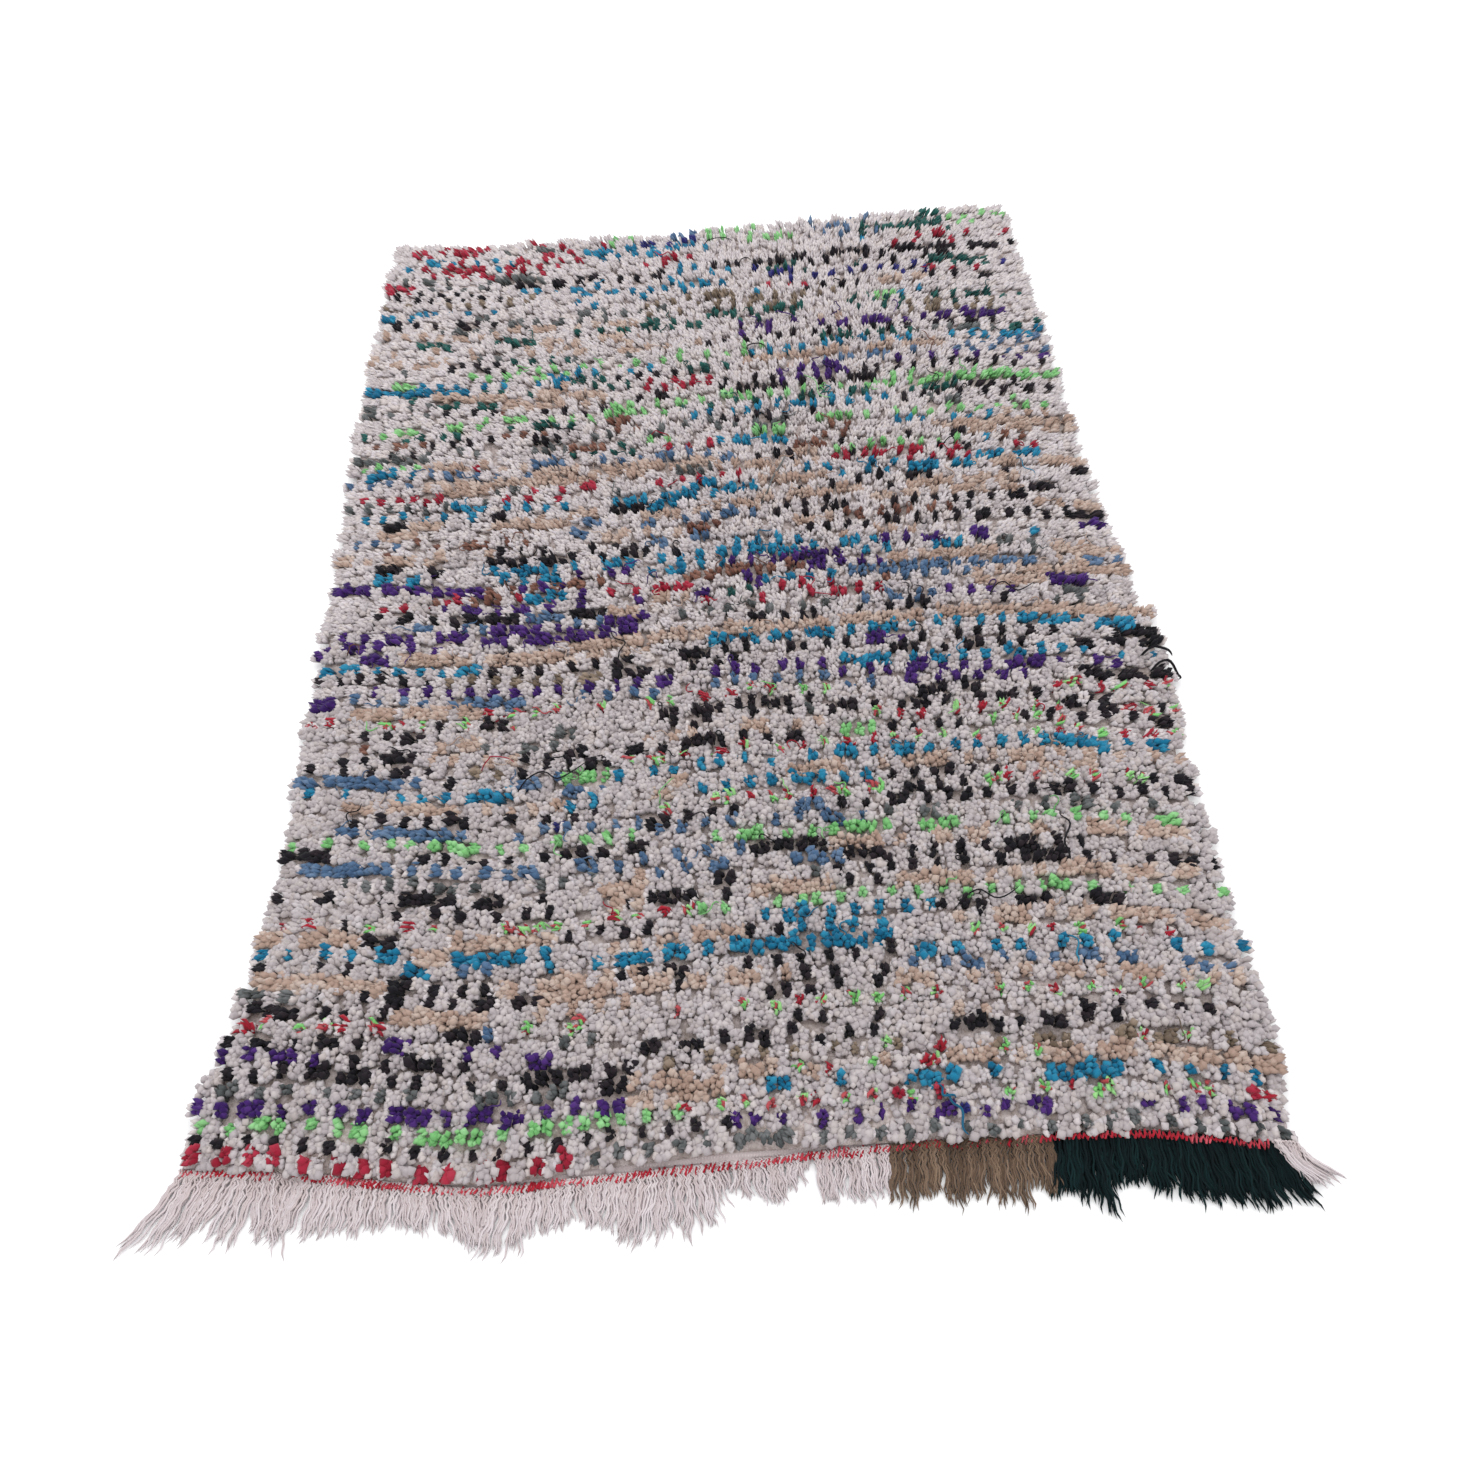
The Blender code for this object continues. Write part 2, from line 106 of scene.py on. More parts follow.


# The chart, a line for each row of knots, from the hem to the far edge. A run is a yarn's letter,
# how it is packed, and where it starts and ends, in hundredths of the width. It was read off and
# rounded to twentieths. Elsewhere the row is in the ground yarn.
CHART = (
    "R:0,35 G:35,50 G=50,55 G:55,100",
    "K:0,50 P=50,55 P-55,80 N~70,80 P-85,100",
    "L:0,45 L~0,40 P~40,45 M-45,100 R~60,75 R~90,100",
    "P-0,40 T-40,50 B-50,65 B=65,70 B-70,100 B=80,85",
    "G-0,20 G=25,35 K~35,40 T-40,55 T~55,65 T-65,75 T=75,100 M~55,80",
    "K-0,30 K=30,40 U-40,65 M~60,70 U~70,100 M~85,95",
    "P~0,10 K-10,25 P-30,35 K-40,65 K=70,75 K-75,90",
    "K-0,15 P-15,30 G~30,40 K-55,65 T~70,75 K-80,95",
    "M-0,15 K=20,25 S~25,30 M-25,35 M~40,50 M-50,95",
    "K-0,15 T=15,25 T-30,40 K-50,65 T-65,100",
    "G-0,5 K-5,30 T-30,55 K~40,45 K-55,65 S-65,100",
    "T=0,15 K-15,25 T-25,45 K~35,50 K-50,65 B-65,100",
    "K-0,10 B-10,20 S-20,25 B-30,50 B=50,65 M-70,95",
    "B-0,10 B=10,15 T-15,20 B=20,30 T-35,50 K-50,55 B-55,65 T-70,100",
    "T=0,10 K-10,15 T-20,30 K-30,45 B-50,70 K=70,75 K-75,90",
    "M-0,5 K~5,25 M-10,20 M-25,45 L-45,100",
    "K-10,30 T-35,40 K~35,50 T=50,60 K-60,65 T-65,100",
    "K~0,10 K-10,30 T=35,40 K-45,50 G-55,60 K-60,100",
    "G-5,35 T~35,40 S-40,50 S=55,60 K=60,65 K-65,95",
    "S=0,10 S-10,50 K=50,60 T=60,65 T-65,100",
    "K=0,5 K-10,40 L-45,100",
    "L-0,40 S-40,65 G~65,90 G-90,95",
    "S=5,20 N~20,30 S~20,30 S-30,40 K-40,50 S=55,60 K-60,100",
    "K-5,35 M-40,70 K~65,75 M-75,95 K=95,100",
    "T=5,10 T-10,30 B-30,35 T-40,45 B-45,65 K-65,80 T-80,90",
    "B-0,25 S-30,35 T=40,45 T-55,100",
    "S=0,10 S-10,15 K~15,20 S-25,30 L=30,35 B-35,100",
    "K-0,20 U-20,25 K-25,35 M-35,100",
    "K-0,20 T-15,25 K-25,60 L-60,65 K-65,100 M~75,90",
    "O~5,10 T-15,20 G~20,25 G=25,30 T~35,60 M-65,100 K~80,100",
    "K-5,15 G~25,35 K-40,55 G-55,60 K=60,70 K-70,85 K=90,95",
    "M-0,25 K~15,30 K-40,60 K=45,55 K~70,80 M-85,100",
    "T-5,20 M-20,60 S-60,70 P-65,85 K=90,100",
    "P=0,5 S-5,15 S=15,25 S-30,60 P-60,95",
    "P-5,60 B-60,100",
    "K-0,15 U-15,35 K-35,50 K-65,85 K=90,100",
    "B=0,5 B-5,20 K-20,65 P-65,70 K-70,90 K=95,100",
    "P~0,10 T=10,40 B=45,50 B-50,100 B~50,100",
    "P-0,15 K~20,30 T=30,100",
    "P-0,20 P=20,35 P-35,40 K-50,65 K~65,90 G-90,95",
    "S=10,15 S-15,20 P=20,30 S-30,35 P=35,40 G-40,65 S-65,75 P-75,85 G=90,95",
    "K-5,10 K=10,25 S=25,30 K=30,35 T=35,40 R~45,65 R~65,75 T=80,90 P=90,95",
    "R~5,10 P-15,40 T=40,45 P-45,50 D-50,55 R-55,65 O~65,70 S-70,80 T=80,100",
    "O-10,25 R~10,25 B=25,30 P-30,35 R-35,45 P=50,55 B-55,65 S=65,90 T-90,95 S-95,100",
    "P=0,20 O-20,35 P~20,35 O=45,60 P-60,70 T=70,85 G~85,90 T=90,100",
    "B=5,15 P~20,30 B-20,40 P-30,50 B-40,50 P=50,65 B-65,80 G-80,90",
    "K=5,10 K-10,15 O~15,20 B-20,50 B=50,70 P-70,80 P=80,85 B~85,95 P~90,95",
    "T=0,10 T-10,15 K=20,30 K-30,45 B~50,60 T~65,80 P=95,100",
    "O-5,10 T-20,25 K-20,40 S~40,50 K-60,95 K=95,100",
    "S-0,10 O-10,25 T-35,45 O=45,50 T-60,65 O-65,80 K-80,85 T-90,100",
    "T=5,10 S-15,20 S~25,35 S-40,55 K-55,90 K~90,100",
    "K=5,10 T-10,15 T=20,30 S~30,35 T-40,55 K-55,65 T=70,90 K-90,95",
    "B-0,20 K~20,25 T-25,35 K=35,40 B=40,45 T=55,70 K-70,75 T=75,90",
    "G-0,15 B=15,20 B-20,30 B=35,55 K-60,80 K~85,100",
    "R-0,20 G~15,25 R-20,30 G~30,45 B=45,50 T-55,65 B-65,75 B=75,85 T=85,100",
    "T=10,20 G-20,30 R-25,35 R-40,55 B-60,65 B-70,80 R-75,85 B=85,95",
    "S-0,10 T=10,40 G~45,50 T-50,65 K-65,85 R~65,95",
    "B-0,10 S-10,25 T=25,50 S~50,55 K=55,60 T-60,65 L-65,85 B-85,90 O~90,95",
    "L-0,10 R~10,20 T-10,25 S=25,30 S-30,50 O=60,65 K~65,85 T-85,100",
    "G=0,10 R~15,20 D-30,40 R~40,50 B-50,60 O-65,70 T=80,100",
    "K-5,10 G-10,20 G=25,30 O=30,35 D-35,40 L-40,45 L=55,60 O-65,70 B-75,90 T-90,100",
    "O~0,10 K-10,20 K=25,30 G-30,45 G-50,60 L=65,70 L-70,100",
    "D-0,15 L~0,5 O-20,30 K-30,35 O-35,40 G~40,50 K-50,65 G-80,85 L-90,95",
    "L-5,15 D-15,20 L-15,20 D-20,35 O-35,40 B-45,55 B-55,75 K-75,100",
    "K~5,10 L-15,45 L=20,25 L=35,40 D-45,65 D-70,80 D=80,85 K-85,95",
    "G-0,10 K-10,20 O~20,25 K-25,35 L=35,45 L-45,70 L=70,100",
    "G-0,10 T=10,15 D~10,20 T=20,35 K-35,55 K=55,60 K-60,75 L-75,80 K~85,95 L-85,100",
    "D-5,10 T=10,35 R-40,50 K-50,60 P-60,65 P=65,70 K-70,100",
    "B=0,15 D-15,25 T-25,30 D-30,40 R-40,50 P-60,70 P~75,80 P-80,100",
    "L~0,10 B-5,30 D-30,35 K-35,45 D-45,55 T-60,65 S-65,100",
    "L-15,25 L=25,30 B-25,45 T=55,85 S-85,100",
    "G~5,10 K-10,20 L-20,60 B-55,80 B-85,95 B=95,100",
    "T-0,10 K-10,20 D-20,30 G~30,40 L~45,50 L-55,60 D=65,70 D-70,80 G-80,95 D=95,100",
    "T~0,50 G~15,20 K-50,95",
    "T~0,40 P-55,95",
    "D~0,25 T-25,40 P~55,65 T-65,70 U-80,95",
    "T-0,20 D~25,50 D-55,90 U-80,95",
    "G~5,20 T-20,40 D~40,50 D-50,60 D=60,65 D-70,100",
    "K-0,20 G-20,35 U-40,65 S-70,75 D-70,75 L=75,80 B-80,85",
    "B~0,5 G~10,20 G-30,45 U-45,70",
    "B-5,20 B~20,40 U-40,55 B~55,60 K~65,75 T-75,85 K~85,100",
    "U-0,20 U~20,30 B~30,50 R~60,70 N~75,85 R~85,95",
    "K-0,20 U~20,30 B-30,55 N-60,85 D-85,95 N~95,100",
    "R-0,5 K-5,20 B-20,35 B~35,50 N=60,65 D~65,75 K~75,80 D=85,95",
    "R=0,5 G-5,15 K-15,30 K-30,45 B-45,55 N~55,60 D-60,65 K-65,70 K-75,90",
    "G-0,10 G=15,25 K~30,45 B-45,50 K-50,60 K=60,75 K-75,80 K=80,90 K-90,100",
    "R-5,30 R~40,50 R~80,95",
    "B-0,25 R-5,30 R~35,50 B~65,80 R~80,100",
    "R-5,30 B~5,20 B-30,45 B~50,55 S-70,80 D-75,95",
    "R~5,40 B-30,50 L-55,65 S-65,75 D=75,90 L-90,95",
    "R~0,35 G~10,30 L~35,40 N-40,50 L-50,60 S-65,75 D-85,90 L-90,100",
    "R~0,30 L-35,40 N~40,45 S-45,50 L-50,60 S~65,80 D=85,90 L-95,100",
)


@dataclass(frozen=True)
class Curve:
    """A smooth curve through a short table of places and values."""

    places: tuple[float, ...]
    values: tuple[float, ...]

    def at(self, place: np.ndarray | float) -> np.ndarray:
        """Read the curve.

        Args:
            place: One place or an array of them; past the ends the end values hold.

        Returns:
            The values there, in the shape of place.
        """
        x, v = np.asarray(self.places), np.asarray(self.values)
        before = np.maximum(np.arange(len(x)) - 1, 0)
        after = np.minimum(np.arange(len(x)) + 1, len(x) - 1)
        slopes = (v[after] - v[before]) / (x[after] - x[before])
        place = np.clip(place, x[0], x[-1])
        k = np.clip(np.searchsorted(x, place, side="right") - 1, 0, len(x) - 2)
        span = x[k + 1] - x[k]
        t = (place - x[k]) / span
        start, end, rise = slopes[k] * span, slopes[k + 1] * span, v[k + 1] - v[k]
        bend = 3 * rise - 2 * start - end
        return v[k] + t * start + t**2 * bend + t**3 * (start + end - 2 * rise)


def ease(share: np.ndarray | float) -> np.ndarray:
    """Ease a share from 0 to 1 so that it starts and ends level."""
    share = np.clip(share, 0.0, 1.0)
    return share * share * (3.0 - 2.0 * share)


# The outline: places along the sides and across the ends, and where the outline runs there.
SIDE_PLACES = (-1.12, -1.00, -0.89, -0.68, -0.49, -0.31, -0.16, 0.19, 0.56, 1.16)
END_PLACES = (-0.757, -0.60, -0.45, -0.34, -0.18, 0.00, 0.17, 0.30, 0.57, 0.757)
FOLD_PLACES = (-1.10, -0.70, -0.05, 0.45, 1.15)
SIDE_LEFT = (-0.757, -0.752, -0.730, -0.711, -0.712, -0.718, -0.724, -0.733, -0.747, -0.751)
SIDE_RIGHT = (0.757, 0.776, 0.781, 0.780, 0.779, 0.804, 0.786, 0.758, 0.758, 0.746)
END_HEM = (-1.098, -1.109, -1.128, -1.139, -1.129, -1.117, -1.105, -1.100, -1.101, -1.126)
END_BARE = (0.000, 0.000, 0.001, 0.004, 0.009, 0.010, 0.004, 0.000, 0.000, 0.000)
END_FAR = (1.156, 1.147, 1.144, 1.144, 1.146, 1.152, 1.168, 1.184, 1.213, 1.223)
SIDE_SPAN = SIDE_PLACES[-1] - SIDE_PLACES[0]


@dataclass(frozen=True)
class RugPlan:
    """The rug's plan: its sides, its two ends and its lengthwise fold, in metres.

    side_lean is how far the pile leans to the side at each share of the way across, in degrees,
    lean_share how that grows from the hem to the far edge, and rim the share of the width, at
    either side, where it is full everywhere. ridge and ridge_foot are the fold's height and half
    width, drape the share of it that the cloth takes, cloth_top the height of the flat cloth's
    upper face, and lock how far the pile's locks reach past the cloth.
    """

    left: Curve = Curve(SIDE_PLACES, SIDE_LEFT)
    right: Curve = Curve(SIDE_PLACES, SIDE_RIGHT)
    hem: Curve = Curve(END_PLACES, END_HEM)
    bare: Curve = Curve(END_PLACES, END_BARE)
    far: Curve = Curve(END_PLACES, END_FAR)
    fold_x: Curve = Curve(FOLD_PLACES, (0.002, 0.010, 0.040, 0.030, 0.000))
    fold_share: Curve = Curve(FOLD_PLACES, (0.7, 1.0, 1.0, 0.9, 0.4))
    side_lean: Curve = Curve(
        (0.0, 0.1, 0.3, 0.45, 0.55, 0.67, 0.8, 0.9, 1.0),
        (-62.0, -50.0, -36.0, -25.0, -13.0, -3.0, 19.0, 40.0, 58.0),
    )
    lean_share: Curve = Curve((0.0, 0.06, 0.14, 0.6, 0.8, 1.0), (0.25, 0.4, 1.0, 1.0, 1.25, 1.30))
    most_lean: float = 62.0
    rim: float = 0.05
    rows: int = len(CHART)
    ridge: float = 0.009
    ridge_foot: float = 0.085
    drape: float = 0.8
    cloth_top: float = 0.0026
    lock: float = 0.022

    def sides(self, v: np.ndarray) -> tuple[np.ndarray, np.ndarray]:
        """The x of the left and the right side at each share of the way along."""
        along = SIDE_PLACES[0] + v * SIDE_SPAN
        return self.left.at(along), self.right.at(along)

    def point(self, u: np.ndarray, v: np.ndarray) -> tuple[np.ndarray, np.ndarray]:
        """Find plan positions.

        Args:
            u: Shares of the way across, from the left side to the right.
            v: Shares of the way along, from the pile's first row to the far edge.

        Returns:
            The x and y of each place.
        """
        left, right = self.sides(v)
        x = left + (right - left) * u
        near, far = self.hem.at(x) + self.bare.at(x), self.far.at(x)
        return x, near + (far - near) * v

    def lean(self, u: np.ndarray, v: np.ndarray) -> np.ndarray:
        """How far the pile leans to the side at each place, in degrees."""
        rim = np.clip(np.maximum(self.rim - u, u - (1 - self.rim)) / self.rim, 0, 1)
        lean = self.side_lean.at(u) * np.maximum(self.lean_share.at(v), rim)
        return np.clip(lean, -self.most_lean, self.most_lean)

    def lift(self, x: np.ndarray, y: np.ndarray) -> np.ndarray:
        """Height that the lengthwise fold adds to the cloth at each place."""
        off = np.abs(x - self.fold_x.at(y)) / self.ridge_foot
        return self.drape * (self.ridge * self.fold_share.at(y) * ease(1.0 - off))


def linear(shade: Rgb) -> tuple[float, ...]:
    """Turn an sRGB colour in steps of 255 into the linear colour that shaders take."""
    parts = [value / 255 for value in shade]
    parts = [p / 12.92 if p <= 0.04045 else ((p + 0.055) / 1.055) ** 2.4 for p in parts]
    return (*parts, 1.0)


@dataclass
class Nodes:
    """A material in the making: its nodes are added one by one and lead to its shader.

    Attributes:
        name: The material's name.
        plain: Values of the shader's own inputs.
        material: The material.
    """

    name: str
    plain: dict[str, Feed]
    material: bpy.types.Material = field(init=False)

    def __post_init__(self) -> None:
        """Start the material with its plain values."""
        self.material = bpy.data.materials.new(self.name)
        self.material.use_nodes = True
        self.shade(self.plain)

    def feed(self, node: bpy.types.Node, inputs: dict[str | int, Feed]) -> None:
        """Set a node's inputs, each to a value or from another node."""
        for key, source in inputs.items():
            if isinstance(source, bpy.types.NodeSocket):
                self.material.node_tree.links.new(source, node.inputs[key])
            else:
                node.inputs[key].default_value = source

    def shade(self, inputs: dict[str, Feed]) -> None:
        """Set inputs of the shader."""
        self.feed(self.material.node_tree.nodes["Principled BSDF"], inputs)

    def add(self, kind: str, inputs: dict[str | int, Feed], **facts: str) -> bpy.types.Node:
        """Add a node.

        Args:
            kind: Its kind, without the words that all kinds start with.
            inputs: Its inputs, by name or number.
            facts: Its plain properties.

        Returns:
            The node.
        """
        node = self.material.node_tree.nodes.new(f"ShaderNode{kind}")
        for key, value in facts.items():
            setattr(node, key, value)
        self.feed(node, inputs)
        return node

    def math(self, kind: str, *terms: Feed) -> bpy.types.NodeSocket:
        """Work out a sum of sockets and numbers."""
        return self.add("Math", dict(enumerate(terms)), operation=kind).outputs[0]

    def noise(
        self, place: bpy.types.NodeSocket, scale: float, detail: float
    ) -> bpy.types.NodeSocket:
        """Soft noise over a place."""
        inputs = {"Vector": place, "Scale": scale, "Detail": detail}
        return self.add("TexNoise", inputs).outputs["Fac"]

    def product(
        self, first: bpy.types.NodeSocket, second: bpy.types.NodeSocket
    ) -> bpy.types.NodeSocket:
        """Multiply two colours."""
        inputs = {"Factor": 1.0, "A": first, "B": second}
        return self.add("Mix", inputs, data_type="RGBA", blend_type="MULTIPLY").outputs["Result"]

    def ramp(
        self,
        share: bpy.types.NodeSocket,
        stops: Sequence[tuple[float, tuple[float, ...]]],
        steps: bool = False,
    ) -> bpy.types.NodeSocket:
        """Spread colours over the values of a socket.

        Args:
            share: The socket, from 0 to 1.
            stops: The place and the linear colour of each stop.
            steps: Whether the colours change in steps.

        Returns:
            The colour.
        """
        node = self.add("ValToRGB", {"Fac": share})
        ramp = node.color_ramp
        ramp.interpolation = "CONSTANT" if steps else "LINEAR"
        while len(ramp.elements) < len(stops):
            ramp.elements.new(0.5)
        for k, (place, colour) in enumerate(stops):
            ramp.elements[k].position = place
            ramp.elements[k].color = colour
        return node.outputs["Color"]

    def relief(self, height: bpy.types.NodeSocket, strength: float, distance: float) -> None:
        """Give the shader a fine relief."""
        inputs = {"Height": height, "Strength": strength, "Distance": distance}
        self.shade({"Normal": self.add("Bump", inputs).outputs["Normal"]})


@dataclass(frozen=True)
class WoolFinish:
    """Matt wool: its shades from end to end of the dye lot, and how its fibres show.

    Colours are the sRGB values seen in daylight. The nodes read only the piece's own map, whose
    U holds a strand's shade and V the way along it. root is the share of the colour kept at the
    foot of a strand. That darkening is painted shade, where the pile shades its own roots. It is
    tinted by root_tint and fades out at root_shade_end along the strand. fibre is the strength of
    the fibres' relief, streaks how dark and light they are, fineness their number across a strand
    and along it, and twist the turn that the yarn gives them.
    """

    name: str
    shades: tuple[Rgb, ...]
    mixed: bool = False
    root: float = 0.60
    root_tint: tuple[float, float, float] = (1.0, 0.97, 0.95)
    root_shade_end: float = 0.62
    fibre: float = 0.4
    fibre_depth: float = 0.0012
    fineness: tuple[float, float] = (9.0, 3.5)
    streaks: tuple[float, float] = (0.92, 1.06)
    sheen: float = 0.12
    twist: float = 0.0

    def material(self) -> bpy.types.Material:
        """Make the wool's material."""
        plain = {"Roughness": 0.92, "Specular IOR Level": 0.2}
        nodes = Nodes(f"wool_{self.name}", plain)
        nodes.shade({"Sheen Weight": self.sheen, "Sheen Roughness": 0.5})
        mapped = nodes.add("UVMap", {}, uv_map=MAP).outputs["UV"]
        split = nodes.add("SeparateXYZ", {0: mapped})
        fibres = self._fibres(nodes, mapped)
        low, high = self.streaks
        spread = {"Value": fibres, "From Min": 0.3, "From Max": 0.7, "To Min": low, "To Max": high}
        # Painted shade: the foot of each strand is darkened to root, tinted by root_tint, up to
        # root_shade_end.
        foot = (*(self.root * part for part in self.root_tint), 1.0)
        tip = (1.0, 1.0, 1.0, 1.0)
        rooted = nodes.ramp(split.outputs["Y"], ((0.0, foot), (self.root_shade_end, tip)))
        colour = nodes.product(self._shade(nodes, split.outputs["X"]), rooted)
        colour = nodes.product(colour, nodes.add("MapRange", spread).outputs["Result"])
        nodes.shade({"Base Color": colour})
        nodes.relief(fibres, self.fibre, self.fibre_depth)
        return nodes.material

    def _shade(self, nodes: Nodes, across: bpy.types.NodeSocket) -> bpy.types.NodeSocket:
        """A shade for each cell of the map, at random, in steps where yarns are mixed."""
        cell = nodes.math("FLOOR", nodes.math("MULTIPLY", across, SHADES))
        chance = {"W": nodes.math("ADD", cell, 0.37)}
        chance = nodes.add("TexWhiteNoise", chance, noise_dimensions="1D").outputs["Value"]
        last = len(self.shades) if self.mixed else len(self.shades) - 1
        stops = [(k / last, linear(shade)) for k, shade in enumerate(self.shades)]
        return nodes.ramp(chance, stops, steps=self.mixed)

    def _fibres(self, nodes: Nodes, place: bpy.types.NodeSocket) -> bpy.types.NodeSocket:
        """Fine noise drawn out along the strands, and turned round them where they are twisted."""
        across, along = self.fineness
        scale, turn = (SHADES * across, along, 1.0), (0.0, 0.0, self.twist)
        drawn = nodes.add("Mapping", {"Vector": place, "Scale": scale, "Rotation": turn})
        return nodes.noise(drawn.outputs["Vector"], 1.0, 3.0)


@dataclass(frozen=True)
class WeaveFinish:
    """Plain weave: pale warps that show as ribs between close wefts, softly stained.

    ribs and picks are their waves a metre, in radians, and stain how fine the blotches are.
    """

    dark: Rgb = (184, 170, 171)
    light: Rgb = (222, 209, 210)
    ribs: float = 1500.0
    picks: float = 900.0
    stain: float = 60.0
    share: float = 0.55

    def material(self) -> bpy.types.Material:
        """Make the weave's material."""
        nodes = Nodes("woven_ground", {"Roughness": 0.95, "Specular IOR Level": 0.15})
        place = nodes.add("TexCoord", {}).outputs["Object"]
        split = nodes.add("SeparateXYZ", {0: place})
        ribs = self._bands(nodes, split.outputs["X"], self.ribs)
        picks = self._bands(nodes, split.outputs["Y"], self.picks)
        cross = nodes.math("MULTIPLY", ribs, picks)
        stain = nodes.math("MULTIPLY", nodes.noise(place, self.stain, 4.0), self.share)
        mixed = nodes.math("MULTIPLY_ADD", cross, self.share, stain)
        tones = ((0.0, linear(self.dark)), (1.0, linear(self.light)))
        nodes.shade({"Base Color": nodes.ramp(mixed, tones)})
        nodes.relief(cross, 0.8, 0.001)
        return nodes.material

    def _bands(
        self, nodes: Nodes, place: bpy.types.NodeSocket, turns: float
    ) -> bpy.types.NodeSocket:
        """Even bands of light along one axis, as a value from 0 to 1."""
        wave = nodes.math("SINE", nodes.math("MULTIPLY", place, turns))
        return nodes.math("MULTIPLY_ADD", wave, 0.5, 0.5)


@dataclass(frozen=True)
class FeltFinish:
    """Matted pale wool: soft blotches and fine tangled fibres, in tones a little darker and browner
    than the ground wool's, as painted shade in the gaps between the knots.
    """

    # Painted shade: these tones are darker and browner than the ground wool's.
    dark: Rgb = (150, 136, 130)
    light: Rgb = (198, 186, 184)
    spread: tuple[float, float] = (0.35, 0.65)
    blotches: float = 110.0
    fibres: float = 420.0

    def material(self) -> bpy.types.Material:
        """Make the felt's material."""
        nodes = Nodes("under_wool_shaded", {"Roughness": 0.95, "Specular IOR Level": 0.15})
        place = nodes.add("TexCoord", {}).outputs["Object"]
        blotch = nodes.noise(place, self.blotches, 4.0)
        tones = tuple(zip(self.spread, (linear(self.dark), linear(self.light))))
        nodes.shade({"Base Color": nodes.ramp(blotch, tones)})
        nodes.relief(nodes.noise(place, self.fibres, 3.0), 0.9, 0.003)
        return nodes.material


@dataclass(frozen=True)
class EndForm:
    """The form of one knot's wool ends.

    along and swell give each ring's place on an end and its share of the end's radius. spread is
    how far the ends of a knot part, across and along the rug. grid sets them in that many columns
    and rows over the spread, and without it they stand in a round bunch. rooted is the share of
    the spread that they keep at their roots, ragged how much their lengths differ, and bow how much
    an end rises before it leans over.
    """

    ends: int
    radius: float
    length: float
    spread: tuple[float, float]
    along: tuple[float, ...]
    swell: tuple[float, ...] = (1.0,)
    grid: tuple[int, int] | None = None
    sides: int = 4
    flat: float = 0.9
    rooted: float = 0.25
    ragged: float = 0.08
    stray: float = 0.0016
    uneven: float = 0.12
    crown: float = 0.10
    bow: float = 0.17
    curl: float = 0.0
    turns: float = 0.0


PUFFY = EndForm(
    ends=12, radius=0.0055, length=0.0272, spread=(0.0106, 0.0142), along=(0.87,), grid=(3, 4),
    flat=0.92, ragged=0.10, stray=0.0024, uneven=0.18, crown=0.06,
)
SLEEK = EndForm(
    ends=12, radius=0.0045, length=0.0290, spread=(0.0100, 0.0132), along=(0.76,), grid=(3, 4),
    stray=0.0022, uneven=0.18, crown=0.06, bow=0.10,
)
TUCKED = EndForm(
    ends=3, radius=0.0051, length=0.0245, spread=(0.0012, 0.0126), along=(0.78,), grid=(1, 3),
    flat=0.95, stray=0.0019, uneven=0.18, crown=0.0,
)
CUT = EndForm(
    ends=9, radius=0.0043, length=0.0306, spread=(0.0058, 0.0096), along=(0.80,), grid=(3, 3),
    flat=0.88, rooted=0.6, ragged=0.14, stray=0.0020, uneven=0.24, crown=0.04, bow=0.10,
)
FURRY = EndForm(
    ends=12, radius=0.0048, length=0.0300, spread=(0.0104, 0.0136), along=(0.78,), grid=(3, 4),
    ragged=0.12, stray=0.0024, uneven=0.20, bow=0.10,
)
CURLY = EndForm(
    ends=6, radius=0.0028, length=0.032, spread=(0.0078, 0.0100), along=(0.30, 0.60, 0.86),
    swell=(1.0, 1.0, 0.9), sides=3, flat=1.0, ragged=0.12, curl=0.0036, turns=1.2,
)


@dataclass(frozen=True)
class YarnStock:
    """One yarn: its finish and the form of its cut ends, which may differ towards the far edge,
    where lit_far_finish, a lighter copy of its finish, is painted light.

    bold is how broad its knots lie, as a share of the other coloured yarns', and at_hem how much
    broader they are in the first row. between is how often it takes a knot that an alternating
    run leaves to the ground yarn.
    """

    finish: WoolFinish
    form: EndForm
    far_form: EndForm | None = None
    lit_far_finish: WoolFinish | None = None
    bold: float = 1.0
    at_hem: float = 1.0
    between: float = 0.08


def cut_yarn(
    name: str, *shades: Rgb, bold: float = 1.0, at_hem: float = 1.0, **looks: float
) -> YarnStock:
    """Stock of a coloured yarn with cut ends.

    Args:
        name: The yarn's name.
        shades: Its shades.
        bold: How broad its knots lie.
        at_hem: How much broader they are in the first row.
        looks: Other values of its finish.

    Returns:
        The stock.
    """
    return YarnStock(WoolFinish(name, shades, **looks), CUT, bold=bold, at_hem=at_hem)
